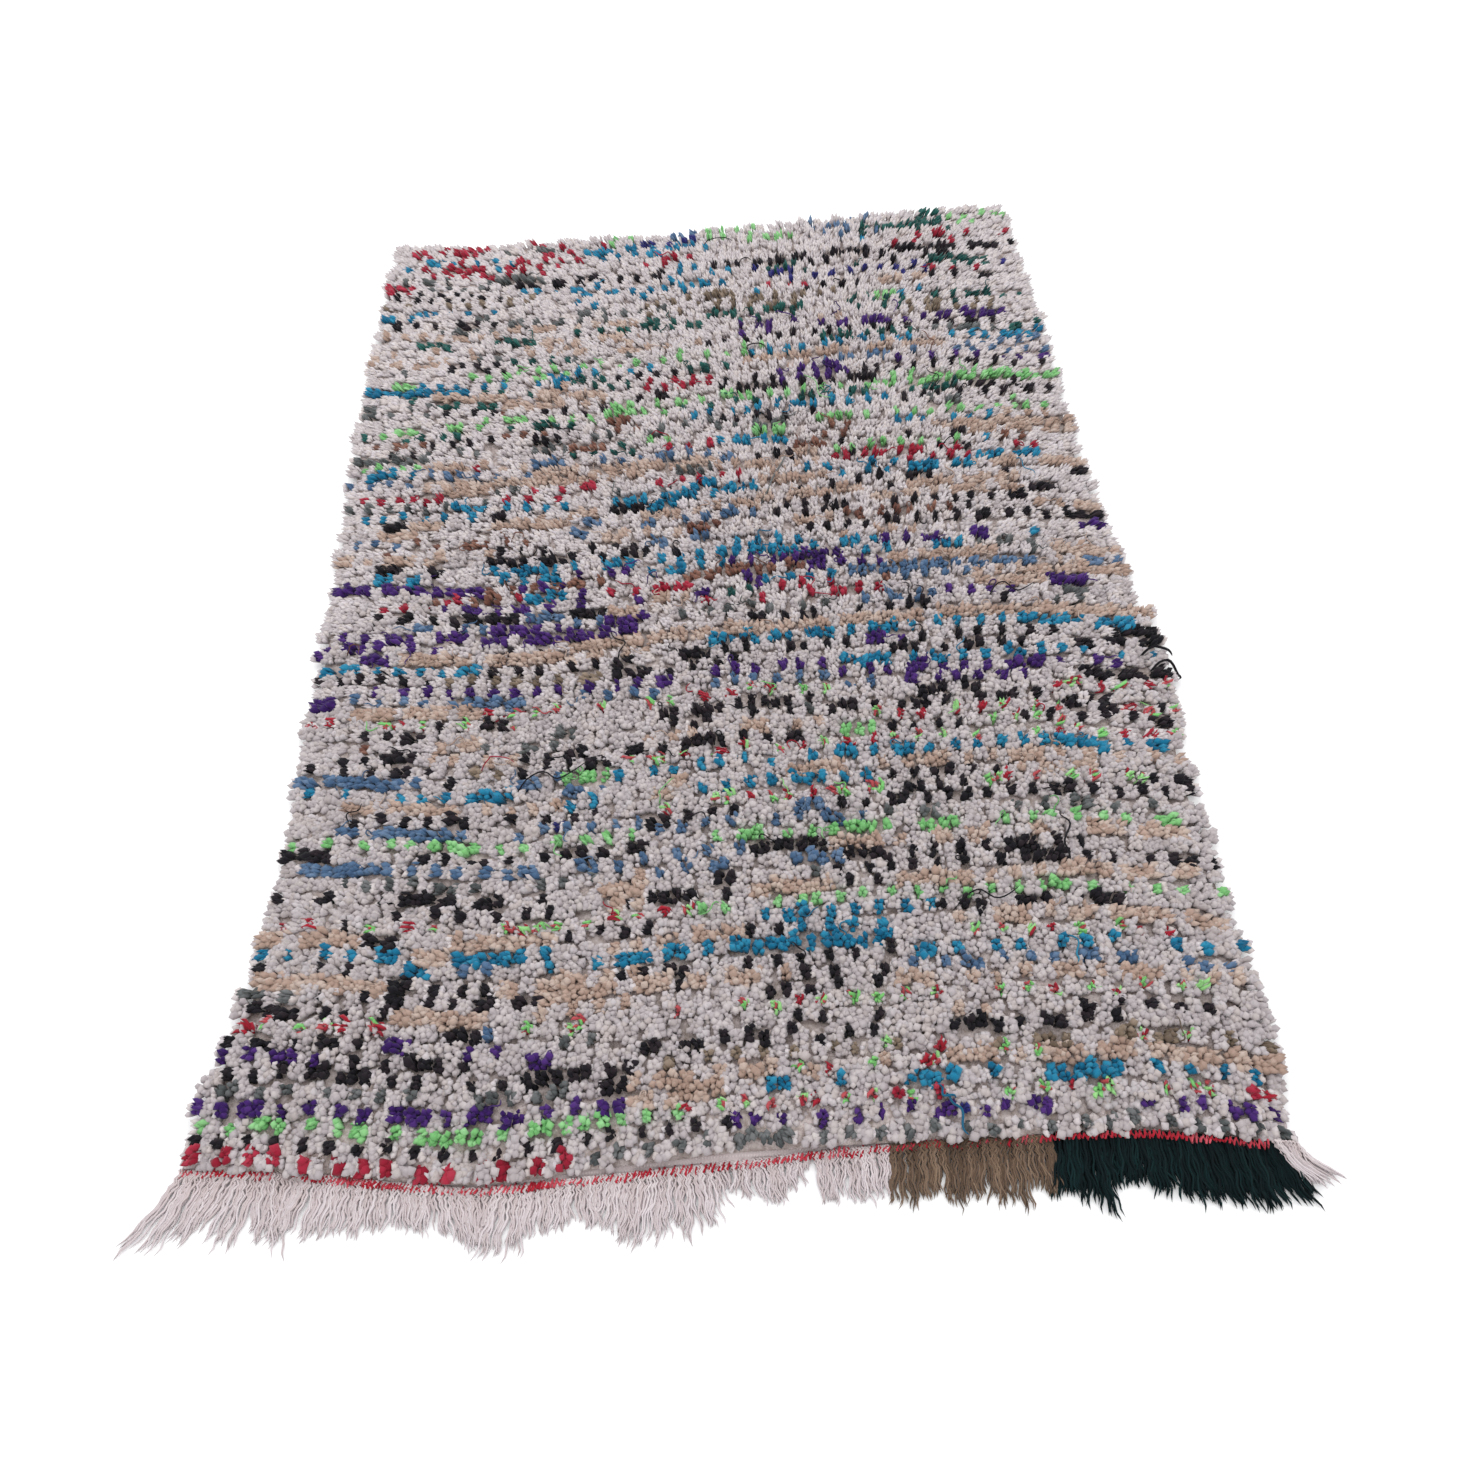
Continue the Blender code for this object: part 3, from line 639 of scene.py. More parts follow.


# root in each finish sets how dark the painted shade at the strands' roots is.
STOCKS = {
    # The ground yarn has a darker copy of its wool for the near rows and a lighter one for the far
    # rows. They are painted shade and painted light, for the light falling more brightly on the far
    # rows.
    Yarn.GROUND: YarnStock(
        WoolFinish(
            "ground",
            ((164, 154, 154), (173, 165, 168), (178, 171, 174), (182, 172, 170), (188, 181, 184)),
            root=1.0,
        ),
        PUFFY,
        SLEEK,
        lit_far_finish=WoolFinish(
            "ground_far",
            ((180, 170, 170), (190, 182, 185), (195, 188, 192), (199, 189, 186), (205, 198, 201)),
            root=1.0,
        ),
    ),
    Yarn.BLACK: cut_yarn("black", (20, 18, 24), (27, 24, 30), (42, 34, 40), sheen=0.05, bold=0.92),
    Yarn.CERULEAN: cut_yarn(
        "cerulean", (11, 90, 124), (16, 111, 147), (42, 131, 164), root=0.75, bold=1.08
    ),
    Yarn.LIME: cut_yarn(
        "lime", (106, 170, 104), (124, 186, 118), (145, 200, 140), root=0.75, bold=0.92
    ),
    Yarn.PURPLE: cut_yarn(
        "purple", (45, 18, 80), (58, 25, 98), (76, 43, 115), root=0.75, bold=1.08
    ),
    Yarn.RED: cut_yarn("red", (128, 18, 39), (148, 27, 50), (168, 48, 69), root=0.75, at_hem=1.5),
    Yarn.MELANGE: YarnStock(
        WoolFinish(
            "melange",
            ((160, 30, 48), (122, 194, 112), (150, 34, 50), (146, 204, 130), (176, 74, 80)),
            mixed=True,
            root=0.75,
            fibre=0.3,
        ),
        CURLY,
    ),
    Yarn.CHARCOAL: cut_yarn("charcoal", (67, 71, 72), (86, 89, 90), (110, 112, 113), bold=0.85),
    Yarn.BOTTLE: cut_yarn("bottle", (14, 56, 54), (20, 74, 70), (40, 94, 88), root=0.75),
    Yarn.TAN: YarnStock(
        WoolFinish("tan", ((159, 134, 121), (173, 149, 137), (189, 171, 161)), root=0.95),
        FURRY,
        between=0.35,
    ),
    Yarn.SLATE: cut_yarn("slate", (60, 86, 117), (74, 102, 135), (98, 121, 150)),
    Yarn.NAVY: cut_yarn("navy", (26, 26, 82), (34, 34, 102), (50, 48, 118)),
    Yarn.BROWN: cut_yarn("brown", (96, 62, 54), (118, 80, 68), (140, 102, 88)),
    Yarn.TAUPE: cut_yarn("taupe", (100, 86, 74), (120, 105, 90), (142, 126, 112)),
}

# root here too sets how dark the painted shade at the strands' roots is.
CREAM_WARP = WoolFinish(
    "cream_warp", ((196, 183, 184), (206, 194, 197), (215, 206, 209)), root=1.0, twist=0.35
)
BROWN_WARP = WoolFinish(
    "brown_warp", ((84, 67, 54), (107, 87, 72), (134, 112, 94)), root=0.9, twist=0.35
)
GREEN_WARP = WoolFinish(
    "green_warp", ((4, 18, 21), (6, 25, 28), (13, 38, 40)), root=0.75, sheen=0.0
)
RED_YARN = WoolFinish(
    "red_yarn", ((156, 20, 38), (178, 30, 50), (204, 84, 98)), root=1.0, twist=0.5
)


@cache
def wool(finish: WoolFinish) -> bpy.types.Material:
    """The material of a finish, made once and shared by all that is spun from it."""
    return finish.material()


# What a set of strands holds for each strand, room kept free round a shade's cell on the map and
# at its ends, and a length that keeps a division from failing.
PER_STRAND = ("path", "radius", "shade", "side")
CELL_ROOM = 0.04
END_ROOM = 0.01
TINY = 1e-12


@dataclass
class Strands:
    """Many strands of one kind, as arrays with a row for each strand.

    Attributes:
        path: Centre line of each strand, root and tip included.
        radius: Radius at each ring between root and tip.
        shade: Shade cell of each strand.
        side: A level direction that each strand's rings start from.
        sides: Sides of a ring.
        flat: Height of a ring as a share of its width.
    """

    path: np.ndarray
    radius: np.ndarray
    shade: np.ndarray
    side: np.ndarray
    sides: int
    flat: float = 1.0

    def faces(self) -> int:
        """Triangles that one strand takes."""
        return 2 * self.sides * self.radius.shape[1]

    def part(self, first: int, last: int) -> "Strands":
        """The strands from first up to last."""
        return replace(self, **{part: getattr(self, part)[first:last] for part in PER_STRAND})

    def joined(self, other: "Strands") -> "Strands":
        """These strands and then the other's, which have as many rings and sides."""
        both = {
            part: np.concatenate([getattr(self, part), getattr(other, part)]) for part in PER_STRAND
        }
        return replace(self, **both)

    def mesh(self, name: str) -> bpy.types.Mesh:
        """Make one mesh of all the strands, each a closed shape with pointed ends.

        Args:
            name: The mesh's name.

        Returns:
            The mesh, shaded smooth, with its own map.
        """
        count, rings = self.radius.shape
        sides, level = self.sides, self.side[:, None, :]
        along = np.gradient(self.path, axis=1)[:, 1:-1]
        along /= np.linalg.norm(along, axis=2, keepdims=True) + TINY
        first = level - along * np.sum(level * along, axis=2, keepdims=True)
        first /= np.linalg.norm(first, axis=2, keepdims=True) + TINY
        second = np.cross(along, first)
        turn = np.arange(sides) / sides * math.tau
        out = first[:, :, None] * np.cos(turn)[None, None, :, None]
        out = out + second[:, :, None] * (self.flat * np.sin(turn))[None, None, :, None]
        skin = self.path[:, 1:-1, None] + out * self.radius[:, :, None, None]
        points = np.concatenate(
            [self.path[:, :1], skin.reshape(count, rings * sides, 3), self.path[:, -1:]], axis=1
        )
        corners, starts, places = self._template(rings)
        stride = rings * sides + 2
        loops = (corners[None, :] + np.arange(count)[:, None] * stride).ravel()
        begins = (starts[None, :] + np.arange(count)[:, None] * len(corners)).ravel()
        mapped = np.repeat(places[None], count, axis=0)
        inside = CELL_ROOM + (1 - 2 * CELL_ROOM) * mapped[..., 0]
        mapped[..., 0] = (self.shade[:, None] + inside) / SHADES
        mesh = bpy.data.meshes.new(name)
        mesh.vertices.add(count * stride)
        mesh.vertices.foreach_set("co", points.astype(np.float32).ravel())
        mesh.loops.add(len(loops))
        mesh.loops.foreach_set("vertex_index", loops.astype(np.int32))
        mesh.polygons.add(len(begins))
        mesh.polygons.foreach_set("loop_start", begins.astype(np.int32))
        mesh.uv_layers.new(name=MAP).uv.foreach_set("vector", mapped.astype(np.float32).ravel())
        mesh.update(calc_edges=True)
        mesh.validate()
        mesh.shade_smooth()
        return mesh

    def _template(self, rings: int) -> tuple[np.ndarray, np.ndarray, np.ndarray]:
        """Corners, face starts and map places of one strand."""
        sides, tip, heights = self.sides, rings * self.sides + 1, self._heights()
        corners, starts, places = [], [], []
        for level in range(rings + 1):
            foot, head = heights[level], heights[level + 1]
            for k in range(sides):
                after = (k + 1) % sides
                low = [1 + (level - 1) * sides + k, 1 + (level - 1) * sides + after]
                high = [1 + level * sides + after, 1 + level * sides + k]
                left, right, middle = k / sides, (k + 1) / sides, (k + 0.5) / sides
                starts.append(len(corners))
                if level == 0:
                    corners += [0, *high]
                    places += [(middle, foot), (right, head), (left, head)]
                elif level == rings:
                    corners += [*low, tip]
                    places += [(left, foot), (right, foot), (middle, head)]
                else:
                    corners += [*low, *high]
                    places += [(left, foot), (right, foot), (right, head), (left, head)]
        return np.array(corners), np.array(starts), np.array(places, float)

    def _heights(self) -> np.ndarray:
        """Place along the map of the root, each ring and the tip."""
        lengths = np.linalg.norm(np.diff(self.path, axis=1), axis=2).mean(axis=0)
        share = np.concatenate([[0.0], np.cumsum(lengths)]) / lengths.sum()
        return END_ROOM + (1 - 2 * END_ROOM) * share


def enter(piece: bpy.types.Object, slot: RecordSlot, *nodes: str) -> None:
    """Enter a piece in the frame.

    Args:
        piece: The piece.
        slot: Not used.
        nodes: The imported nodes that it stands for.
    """
    if nodes:
        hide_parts(*nodes)
    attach(piece, BODY)
    log.info("%s: %d faces", piece.name, len(piece.data.polygons))


def put(
    name: str, mesh: bpy.types.Mesh, finish: bpy.types.Material, slot: RecordSlot, *nodes: str
) -> bpy.types.Object:
    """Put a finished mesh into the scene as a piece that rides on the rug.

    Args:
        name: The piece's name.
        mesh: Its mesh, in place.
        finish: Its material.
        slot: The record's material slot.
        nodes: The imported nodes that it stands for.

    Returns:
        The piece.
    """
    mesh.materials.append(finish)
    piece = bpy.data.objects.new(name, mesh)
    bpy.context.scene.collection.objects.link(piece)
    enter(piece, slot, *nodes)
    return piece


def put_strands(
    name: str, strands: Strands, finish: bpy.types.Material, slot: RecordSlot, *nodes: str
) -> list[bpy.types.Object]:
    """Put strands into the scene, in as many pieces as keep each one light.

    Args:
        name: The pieces' name, numbered where there are several.
        strands: The strands, in the order in which they are shared out.
        finish: Their material.
        slot: The record's material slot.
        nodes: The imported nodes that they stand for.

    Returns:
        The pieces.
    """
    count = len(strands.path)
    pieces = max(1, math.ceil(count * strands.faces() / MOST_FACES))
    edges = [round(count * k / pieces) for k in range(pieces + 1)]
    made = []
    for k, (first, last) in enumerate(zip(edges, edges[1:])):
        label = name if pieces == 1 else f"{name}_{k + 1}"
        made.append(put(label, strands.part(first, last).mesh(label), finish, slot, *nodes))
    return made


def put_layer(
    name: str,
    grid: tuple[int, int],
    thickness: float,
    top: Callable[[np.ndarray, np.ndarray], np.ndarray],
    finish: bpy.types.Material,
) -> bpy.types.Object:
    """Put a layer of even thickness into the scene, made from a flat grid.

    Args:
        name: The layer's name.
        grid: Its squares across and along.
        thickness: Its thickness, below its top.
        top: Gives its top's points from their shares of the way across and along.
        finish: Its material.

    Returns:
        The layer.
    """
    bpy.ops.object.select_all(action="DESELECT")
    bpy.ops.mesh.primitive_grid_add(x_subdivisions=grid[0], y_subdivisions=grid[1], size=1)
    layer = bpy.context.object
    layer.name = name
    mesh = layer.data
    flat = np.zeros(len(mesh.vertices) * 3)
    mesh.vertices.foreach_get("co", flat)
    flat = flat.reshape(-1, 3) + 0.5
    mesh.vertices.foreach_set("co", top(flat[:, 0], flat[:, 1]).ravel())
    mesh.update()
    wall = layer.modifiers.new("thickness", "SOLIDIFY")
    wall.thickness = thickness
    wall.offset = -1.0
    bpy.ops.object.modifier_apply(modifier=wall.name)
    layer.data.shade_smooth()
    layer.data.materials.append(finish)
    return layer


@dataclass
class WovenGround:
    """The woven cloth that carries the knots: a thin sheet with the soft lengthwise fold.

    The locks of the pile reach past it on three sides, and grow to that over the first rows,
    whose share of the rug's length is one part in lock_start.
    """

    plan: RugPlan
    grid: tuple[int, int] = (40, 60)
    thickness: float = 0.0028
    clearance: float = 0.0004
    lock_start: float = 12.0
    flat: tuple[float, float] = (1.51, 2.32)
    finish: WeaveFinish = WeaveFinish()

    def build(self) -> bpy.types.Object:
        """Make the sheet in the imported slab's place."""
        weave = self.finish.material()
        sheet = put_layer("woven_ground", self.grid, self.thickness, self._top, weave)
        enter(sheet, RecordSlot.PILE, "rug_pile")
        return sheet

    def _top(self, u: np.ndarray, v: np.ndarray) -> np.ndarray:
        """The top of the sheet, up to the hem but inside the locks on the other sides."""
        room = self.plan.lock * ease(v * self.lock_start)
        left, right = self.plan.sides(v)
        left, right = left + room, right - room
        x = left + (right - left) * u
        hem, far = self.plan.hem.at(x), self.plan.far.at(x) - self.plan.lock
        y = hem + (far - hem) * v
        return np.stack([x, y, self.clearance + self.thickness + self.plan.lift(x, y)], axis=1)


@dataclass
class UnderWool:
    """Short wool at the foot of the pile: one soft, lumpy layer that closes up between the knots,
    in a darker felt that is painted shade there.

    top is its height where the pile stands up, and laid how fast it falls where the pile leans.
    It starts inset from the outline, and near_inset from the pile's first row.
    """

    plan: RugPlan
    grid: tuple[int, int] = (64, 98)
    top: float = 0.0158
    foot: float = 0.0068
    thickness: float = 0.0035
    lump: float = 0.0016
    laid: float = 1.5
    inset: float = 0.020
    near_inset: float = 0.002
    round_off: float = 0.030
    finish: FeltFinish = FeltFinish()
    rng: np.random.Generator = field(default_factory=lambda: np.random.default_rng(SEED + 4))

    def build(self) -> bpy.types.Object:
        """Make the layer."""
        felt = self.finish.material()
        layer = put_layer("pile_under_wool_shaded", self.grid, self.thickness, self._top, felt)
        enter(layer, RecordSlot.PILE)
        return layer

    def _top(self, u: np.ndarray, v: np.ndarray) -> np.ndarray:
        """The top of the layer, raised in lumps and rounded off at its edge."""
        left, right = self.plan.sides(v)
        left, right = left + self.inset, right - self.inset
        x = left + (right - left) * u
        near = self.plan.hem.at(x) + self.plan.bare.at(x) + self.near_inset
        far = self.plan.far.at(x) - self.inset
        y = near + (far - near) * v
        inward = np.minimum(np.minimum(x - left, right - x), np.minimum(y - near, far - y))
        upright = np.cos(np.radians(self.plan.lean(u, v))) ** self.laid
        height = self.foot + (self.top * upright - self.foot) * ease(inward / self.round_off)
        height = np.maximum(height + self.lump * self.rng.normal(0, 1, len(x)), self.foot)
        return np.stack([x, y, height + self.plan.lift(x, y)], axis=1)


@dataclass
class Knots:
    """Knots of the pile, as arrays with a row for each knot.

    Attributes:
        x: Place of its top across the rug.
        y: Place of its top along the rug.
        v: Its share of the way along the pile.
        lean_x: How it leans across the rug, in radians.
        lean_y: How it leans along the rug, in radians.
        tall: Its length as a share of its form's.
        broad: Its spread as a share of its form's.
        fine: The width of its ends as a share of their form's.
        yarn: The letter of its yarn.
        alike: Whether its neighbours on the left and right have the same yarn.
    """

    x: np.ndarray
    y: np.ndarray
    v: np.ndarray
    lean_x: np.ndarray
    lean_y: np.ndarray
    tall: np.ndarray
    broad: np.ndarray
    fine: np.ndarray
    yarn: np.ndarray
    alike: np.ndarray

    def kept(self, keep: np.ndarray) -> "Knots":
        """The knots that an array of true and false values keeps."""
        return Knots(*(getattr(self, part.name)[keep] for part in fields(self)))

    def of(self, yarn: Yarn) -> "Knots":
        """The knots of one yarn."""
        return self.kept(self.yarn == yarn.value)

    def joined(self, other: "Knots") -> "Knots":
        """These knots and then the other's."""
        pairs = ((getattr(self, part.name), getattr(other, part.name)) for part in fields(self))
        return Knots(*(np.concatenate(pair) for pair in pairs))


@dataclass
class KnottedPile:
    """The pile: rows of knots in the chart's yarns, each knot a bunch of cut wool ends.

    solid, sparse and in_turn are how often a knot of a run takes the run's yarn, by its packing.
    parting is half the width of the fold's crest. parted is how far the pile leans off it, swept
    how far it leans in slow waves across and along, and loose how far a knot strays from its
    neighbours' lean, all in degrees. uneven is how much knots differ in length, back how far
    behind its tips a knot's root lies, and low the least that a leaning end rises, all as shares
    of the length. beside is how far from a knot's middle the ground wool closes up, in pitches,
    and beside_thin the same for a thin one. meander is how far a row strays from its line.
    """

    plan: RugPlan
    pitch: float = 0.0196
    jitter: float = 0.0030
    meander: float = 0.0022
    overhang: Curve = Curve((0.0, 0.45, 0.60, 1.0), (0.004, 0.002, 0.001, 0.002))
    most_high: float = 0.050
    end_lean: Curve = Curve(
        (0.0, 0.016, 0.03, 0.06, 0.3, 0.6, 0.85, 0.96, 1.0),
        (-46.0, -40.0, -20.0, -6.0, 0.0, 8.0, 22.0, 32.0, 46.0),
    )
    bold: Curve = Curve(
        (0.0, 0.008, 0.016, 0.03, 0.40, 0.65, 1.0), (0.94, 0.89, 0.85, 0.96, 0.95, 0.78, 0.75)
    )
    joined_up: float = 0.22
    fine: Curve = Curve((0.0, 0.008, 0.02, 0.3, 0.6, 1.0), (1.30, 1.28, 1.16, 1.06, 0.95, 0.88))
    drawn: Curve = Curve((0.0, 0.3, 0.6, 1.0), (1.0, 1.0, 1.05, 1.10))
    sleek: Curve = Curve((0.0, 0.28, 0.60, 1.0), (0.0, 0.0, 1.0, 1.0))
    solid: float = 0.88
    sparse: float = 0.33
    in_turn: float = 0.92
    parting: float = 0.03
    parted: float = 26.0
    swept: tuple[float, float] = (7.0, 6.0)
    loose: float = 9.0
    uneven: float = 0.07
    back: float = 0.9
    low: float = 0.3
    bend: float = 0.45
    beside: float = 0.52
    beside_thin: float = 0.30
    rng: np.random.Generator = field(default_factory=lambda: np.random.default_rng(SEED))

    def build(self, knots: Knots) -> list[bpy.types.Object]:
        """Make the pieces of each yarn.

        Args:
            knots: The knots of the pile.

        Returns:
            The pieces.
        """
        pieces = []
        for yarn, stock in STOCKS.items():
            own, name = knots.of(yarn), f"pile_{stock.finish.name}"
            if not len(own.x):
                continue
            if stock.far_form:
                far = self.rng.random(len(own.x)) < self.sleek.at(own.v)
                strands = self._ends(own.kept(far), stock.far_form)
                strands = strands.joined(self._ends(self._tucked(knots), TUCKED))
                # Painted light: the far ends take the lighter copy of the finish where there is
                # one.
                lit_far_wool = wool(stock.lit_far_finish or stock.finish)
                pieces += put_strands(f"{name}_far", strands, lit_far_wool, RecordSlot.PILE)
                own = own.kept(~far)
            strands = self._ends(own, stock.form)
            pieces += put_strands(name, strands, wool(stock.finish), RecordSlot.PILE)
        return pieces

    def knot_rows(self) -> Knots:
        """Place every knot, choose its yarn from the chart, and set how it leans."""
        u, v, yarn, alike = [], [], [], []
        for row, line in enumerate(CHART):
            share = (row + 0.5) / self.plan.rows
            x, _ = self.plan.point(np.array([0.0, 1.0]), np.array([share, share]))
            count = round((x[1] - x[0]) / self.pitch)
            across = (np.arange(count) + 0.5 + self.rng.uniform(-0.3, 0.3)) / count
            sway = np.interp(across, np.linspace(0, 1, 11), self.rng.normal(0, self.meander, 11))
            letters = self._choose(line, across)
            u.append(across)
            v.append(share + sway / SIDE_SPAN)
            yarn.append(letters)
            same = np.zeros((count, 2), bool)
            same[1:, 0] = same[:-1, 1] = letters[1:] == letters[:-1]
            alike.append(same)
        u, v, yarn = np.concatenate(u), np.concatenate(v), np.concatenate(yarn)
        x, y = self.plan.point(u, v)
        x = x + self.rng.normal(0, self.jitter, len(x))
        y = y + self.rng.normal(0, self.jitter, len(x)) - self.overhang.at(u) * ease(1.0 - v * 13)
        tall = self.rng.normal(1.0, self.uneven, len(x)) * self.drawn.at(v)
        alike = np.concatenate(alike)
        coloured = yarn != Yarn.GROUND.value
        stocks = {kind.value: stock for kind, stock in STOCKS.items()}
        bold = self.bold.at(v) * np.array([stocks[letter].bold for letter in yarn])
        at_hem = np.array([stocks[letter].at_hem for letter in yarn])
        bold = bold * np.where(v * self.plan.rows < 1.0, at_hem, 1.0)
        broad = np.where(coloured, bold * (1.0 + self.joined_up * alike.any(axis=1)), 1.0)
        lean_x, lean_y = self._lean(u, v, x, y)
        return Knots(x, y, v, lean_x, lean_y, tall, broad, self.fine.at(v), yarn, alike)

    def _choose(self, line: str, across: np.ndarray) -> np.ndarray:
        """Choose the yarn of each knot in a row.

        Args:
            line: The row's line in the chart.
            across: Each knot's share of the way across.

        Returns:
            The letter of each knot's yarn.
        """
        chosen = np.full(len(across), Yarn.GROUND.value)
        first, place = self.rng.uniform(0, 10), np.arange(len(across))
        for run in line.split():
            letter, packing = run[0], Packing(run[1])
            start, end = (float(part) / 100 for part in run[2:].split(","))
            inside = (across >= start) & (across < end)
            chance = self.rng.random(len(across))
            if packing is Packing.SOLID:
                take = chance < self.solid
            elif packing is Packing.SPARSE:
                take = chance < self.sparse
            elif packing is Packing.EVEN:
                take = place % 2 == 0
            else:
                drift = 0.45 * np.sin(0.41 * place + first) + 0.4 * np.sin(0.17 * place - first)
                even = np.floor(place + drift + first) % 2 == 0
                take = chance < np.where(even, self.in_turn, STOCKS[Yarn(letter)].between)
            chosen[inside & take] = letter
        return chosen

    def _lean(
        self, u: np.ndarray, v: np.ndarray, x: np.ndarray, y: np.ndarray
    ) -> tuple[np.ndarray, np.ndarray]:
        """Lean of each knot across and along the rug, in radians."""
        side = self.plan.lean(u, v)
        off = (x - self.plan.fold_x.at(y)) / self.parting
        side = side + self.parted * off * np.exp(-off * off) * self.plan.fold_share.at(y)
        across, along = self.swept
        side = side + across * np.sin(23.0 * x + 9.0 * y) * np.cos(14.0 * y - 5.0 * x)
        stray = self.loose + self.loose * ease(1.0 - v * 25)
        side = side + self.rng.normal(0, 1, len(u)) * stray
        ahead = self.end_lean.at(v) + along * np.sin(17.0 * y + 11.0 * x + 2.0)
        ahead = ahead + self.rng.normal(0, self.loose, len(u))
        return np.radians(side), np.radians(ahead)

    def _tucked(self, knots: Knots) -> Knots:
        """Ground wool that closes up beside each coloured knot, where its neighbour differs."""
        beside = []
        coloured = knots.yarn != Yarn.GROUND.value
        thin = knots.yarn == Yarn.MELANGE.value
        for keep, way in (
            (coloured & ~knots.alike[:, 0], -self.beside),
            (coloured & ~knots.alike[:, 1], self.beside),
            (thin, -self.beside_thin),
            (thin, self.beside_thin),
        ):
            own = knots.kept(keep)
            own.x = own.x + way * self.pitch
            own.broad = np.ones(len(own.x))
            beside.append(own)
        return reduce(Knots.joined, beside)

    def _spread(self, form: EndForm, count: int) -> tuple[np.ndarray, np.ndarray, np.ndarray]:
        """Spread a knot's ends.

        Args:
            form: The form of the ends.
            count: How many knots there are.

        Returns:
            Each end's offset across and along, and how far out in its knot it stands, from 0 to 1,
            with a row for each knot.
        """
        if form.grid:
            columns, rows = form.grid
            place = np.arange(form.ends)
            across, along = place % columns, place // columns
            off_x = (2 * across + 1 - columns + 0.5 * (along % 2) - 0.25) / columns
            off_y = (2 * along + 1 - rows) / rows
            reach = np.minimum(np.hypot(off_x, off_y), 1.0)
            off_x, off_y, reach = (np.tile(part, (count, 1)) for part in (off_x, off_y, reach))
        else:
            order = np.arange(form.ends)
            reach = np.tile(np.sqrt((order + 0.5) / form.ends), (count, 1))
            angle = order[None] * 2.4 + self.rng.random((count, 1)) * math.tau
            off_x, off_y = reach * np.cos(angle), reach * np.sin(angle)
        return form.spread[0] * off_x, form.spread[1] * off_y, reach

    def _ends(self, knots: Knots, form: EndForm) -> Strands:
        """Make the wool ends of knots that share one form.

        Args:
            knots: The knots.
            form: The form of their ends.

        Returns:
            The ends as strands, knot by knot.
        """
        rng, ends = self.rng, form.ends
        count = len(knots.x) * ends
        which = np.repeat(np.arange(len(knots.x)), ends)
        off_x, off_y, reach = (part.ravel() for part in self._spread(form, len(knots.x)))
        off_x = off_x * knots.broad[which] + rng.normal(0, form.stray, count)
        off_y = off_y * knots.broad[which] + rng.normal(0, form.stray, count)
        length = form.length * knots.tall[which] * rng.normal(1.0, form.ragged, count)
        lean_x, lean_y = knots.lean_x[which], knots.lean_y[which]
        upright = np.cos(lean_x) * np.cos(lean_y)
        top_x, top_y = knots.x[which] + off_x, knots.y[which] + off_y
        root_x = knots.x[which] - length * np.sin(lean_x) * self.back + off_x * form.rooted
        root_y = knots.y[which] - length * np.sin(lean_y) * self.back + off_y * form.rooted
        ground = self.plan.cloth_top + self.plan.lift(root_x, root_y)
        top = ground + length * np.maximum(upright, self.low) * (1.0 - form.crown * reach**2)
        top = np.minimum(top, self.most_high)
        root = np.stack([root_x, root_y, ground], axis=1)
        tip = np.stack([top_x, top_y, top], axis=1)
        bend = root + (tip - root) * (self.bend + form.bow * np.array([-1.0, -1.0, 1.0]))
        along = np.array([0.0, *form.along, 1.0])[None, :, None]
        path = root[:, None] * (1 - along) ** 2 + 2 * bend[:, None] * along * (1 - along)
        path = path + tip[:, None] * along**2
        heading = rng.random(count) * math.tau
        side = np.stack([np.cos(heading), np.sin(heading), np.zeros(count)], axis=1)
        if form.curl:
            path = path + self._curls(along, side, form)
        width = (knots.fine * knots.broad**0.8)[which, None]
        radius = form.radius * width * np.array(form.swell)[None]
        radius = radius * rng.normal(1.0, form.uneven, (count, 1))
        base = np.repeat(rng.integers(0, SHADES, len(knots.x)), ends)
        shade = (base + rng.integers(0, 4, count) * 4) % SHADES
        return Strands(path, radius, shade, side, form.sides, form.flat)

    def _curls(self, along: np.ndarray, side: np.ndarray, form: EndForm) -> np.ndarray:
        """Offsets that turn each end in a loose curl, growing from its root."""
        other = np.stack([-side[:, 1], side[:, 0], np.full(len(side), 0.4)], axis=1)
        turn = along * form.turns * math.tau + side[:, None, :1] * 3.0
        grown = form.curl * np.minimum(along * 1.6, 1.0)
        return grown * (np.cos(turn) * side[:, None] + np.sin(turn) * other[:, None])


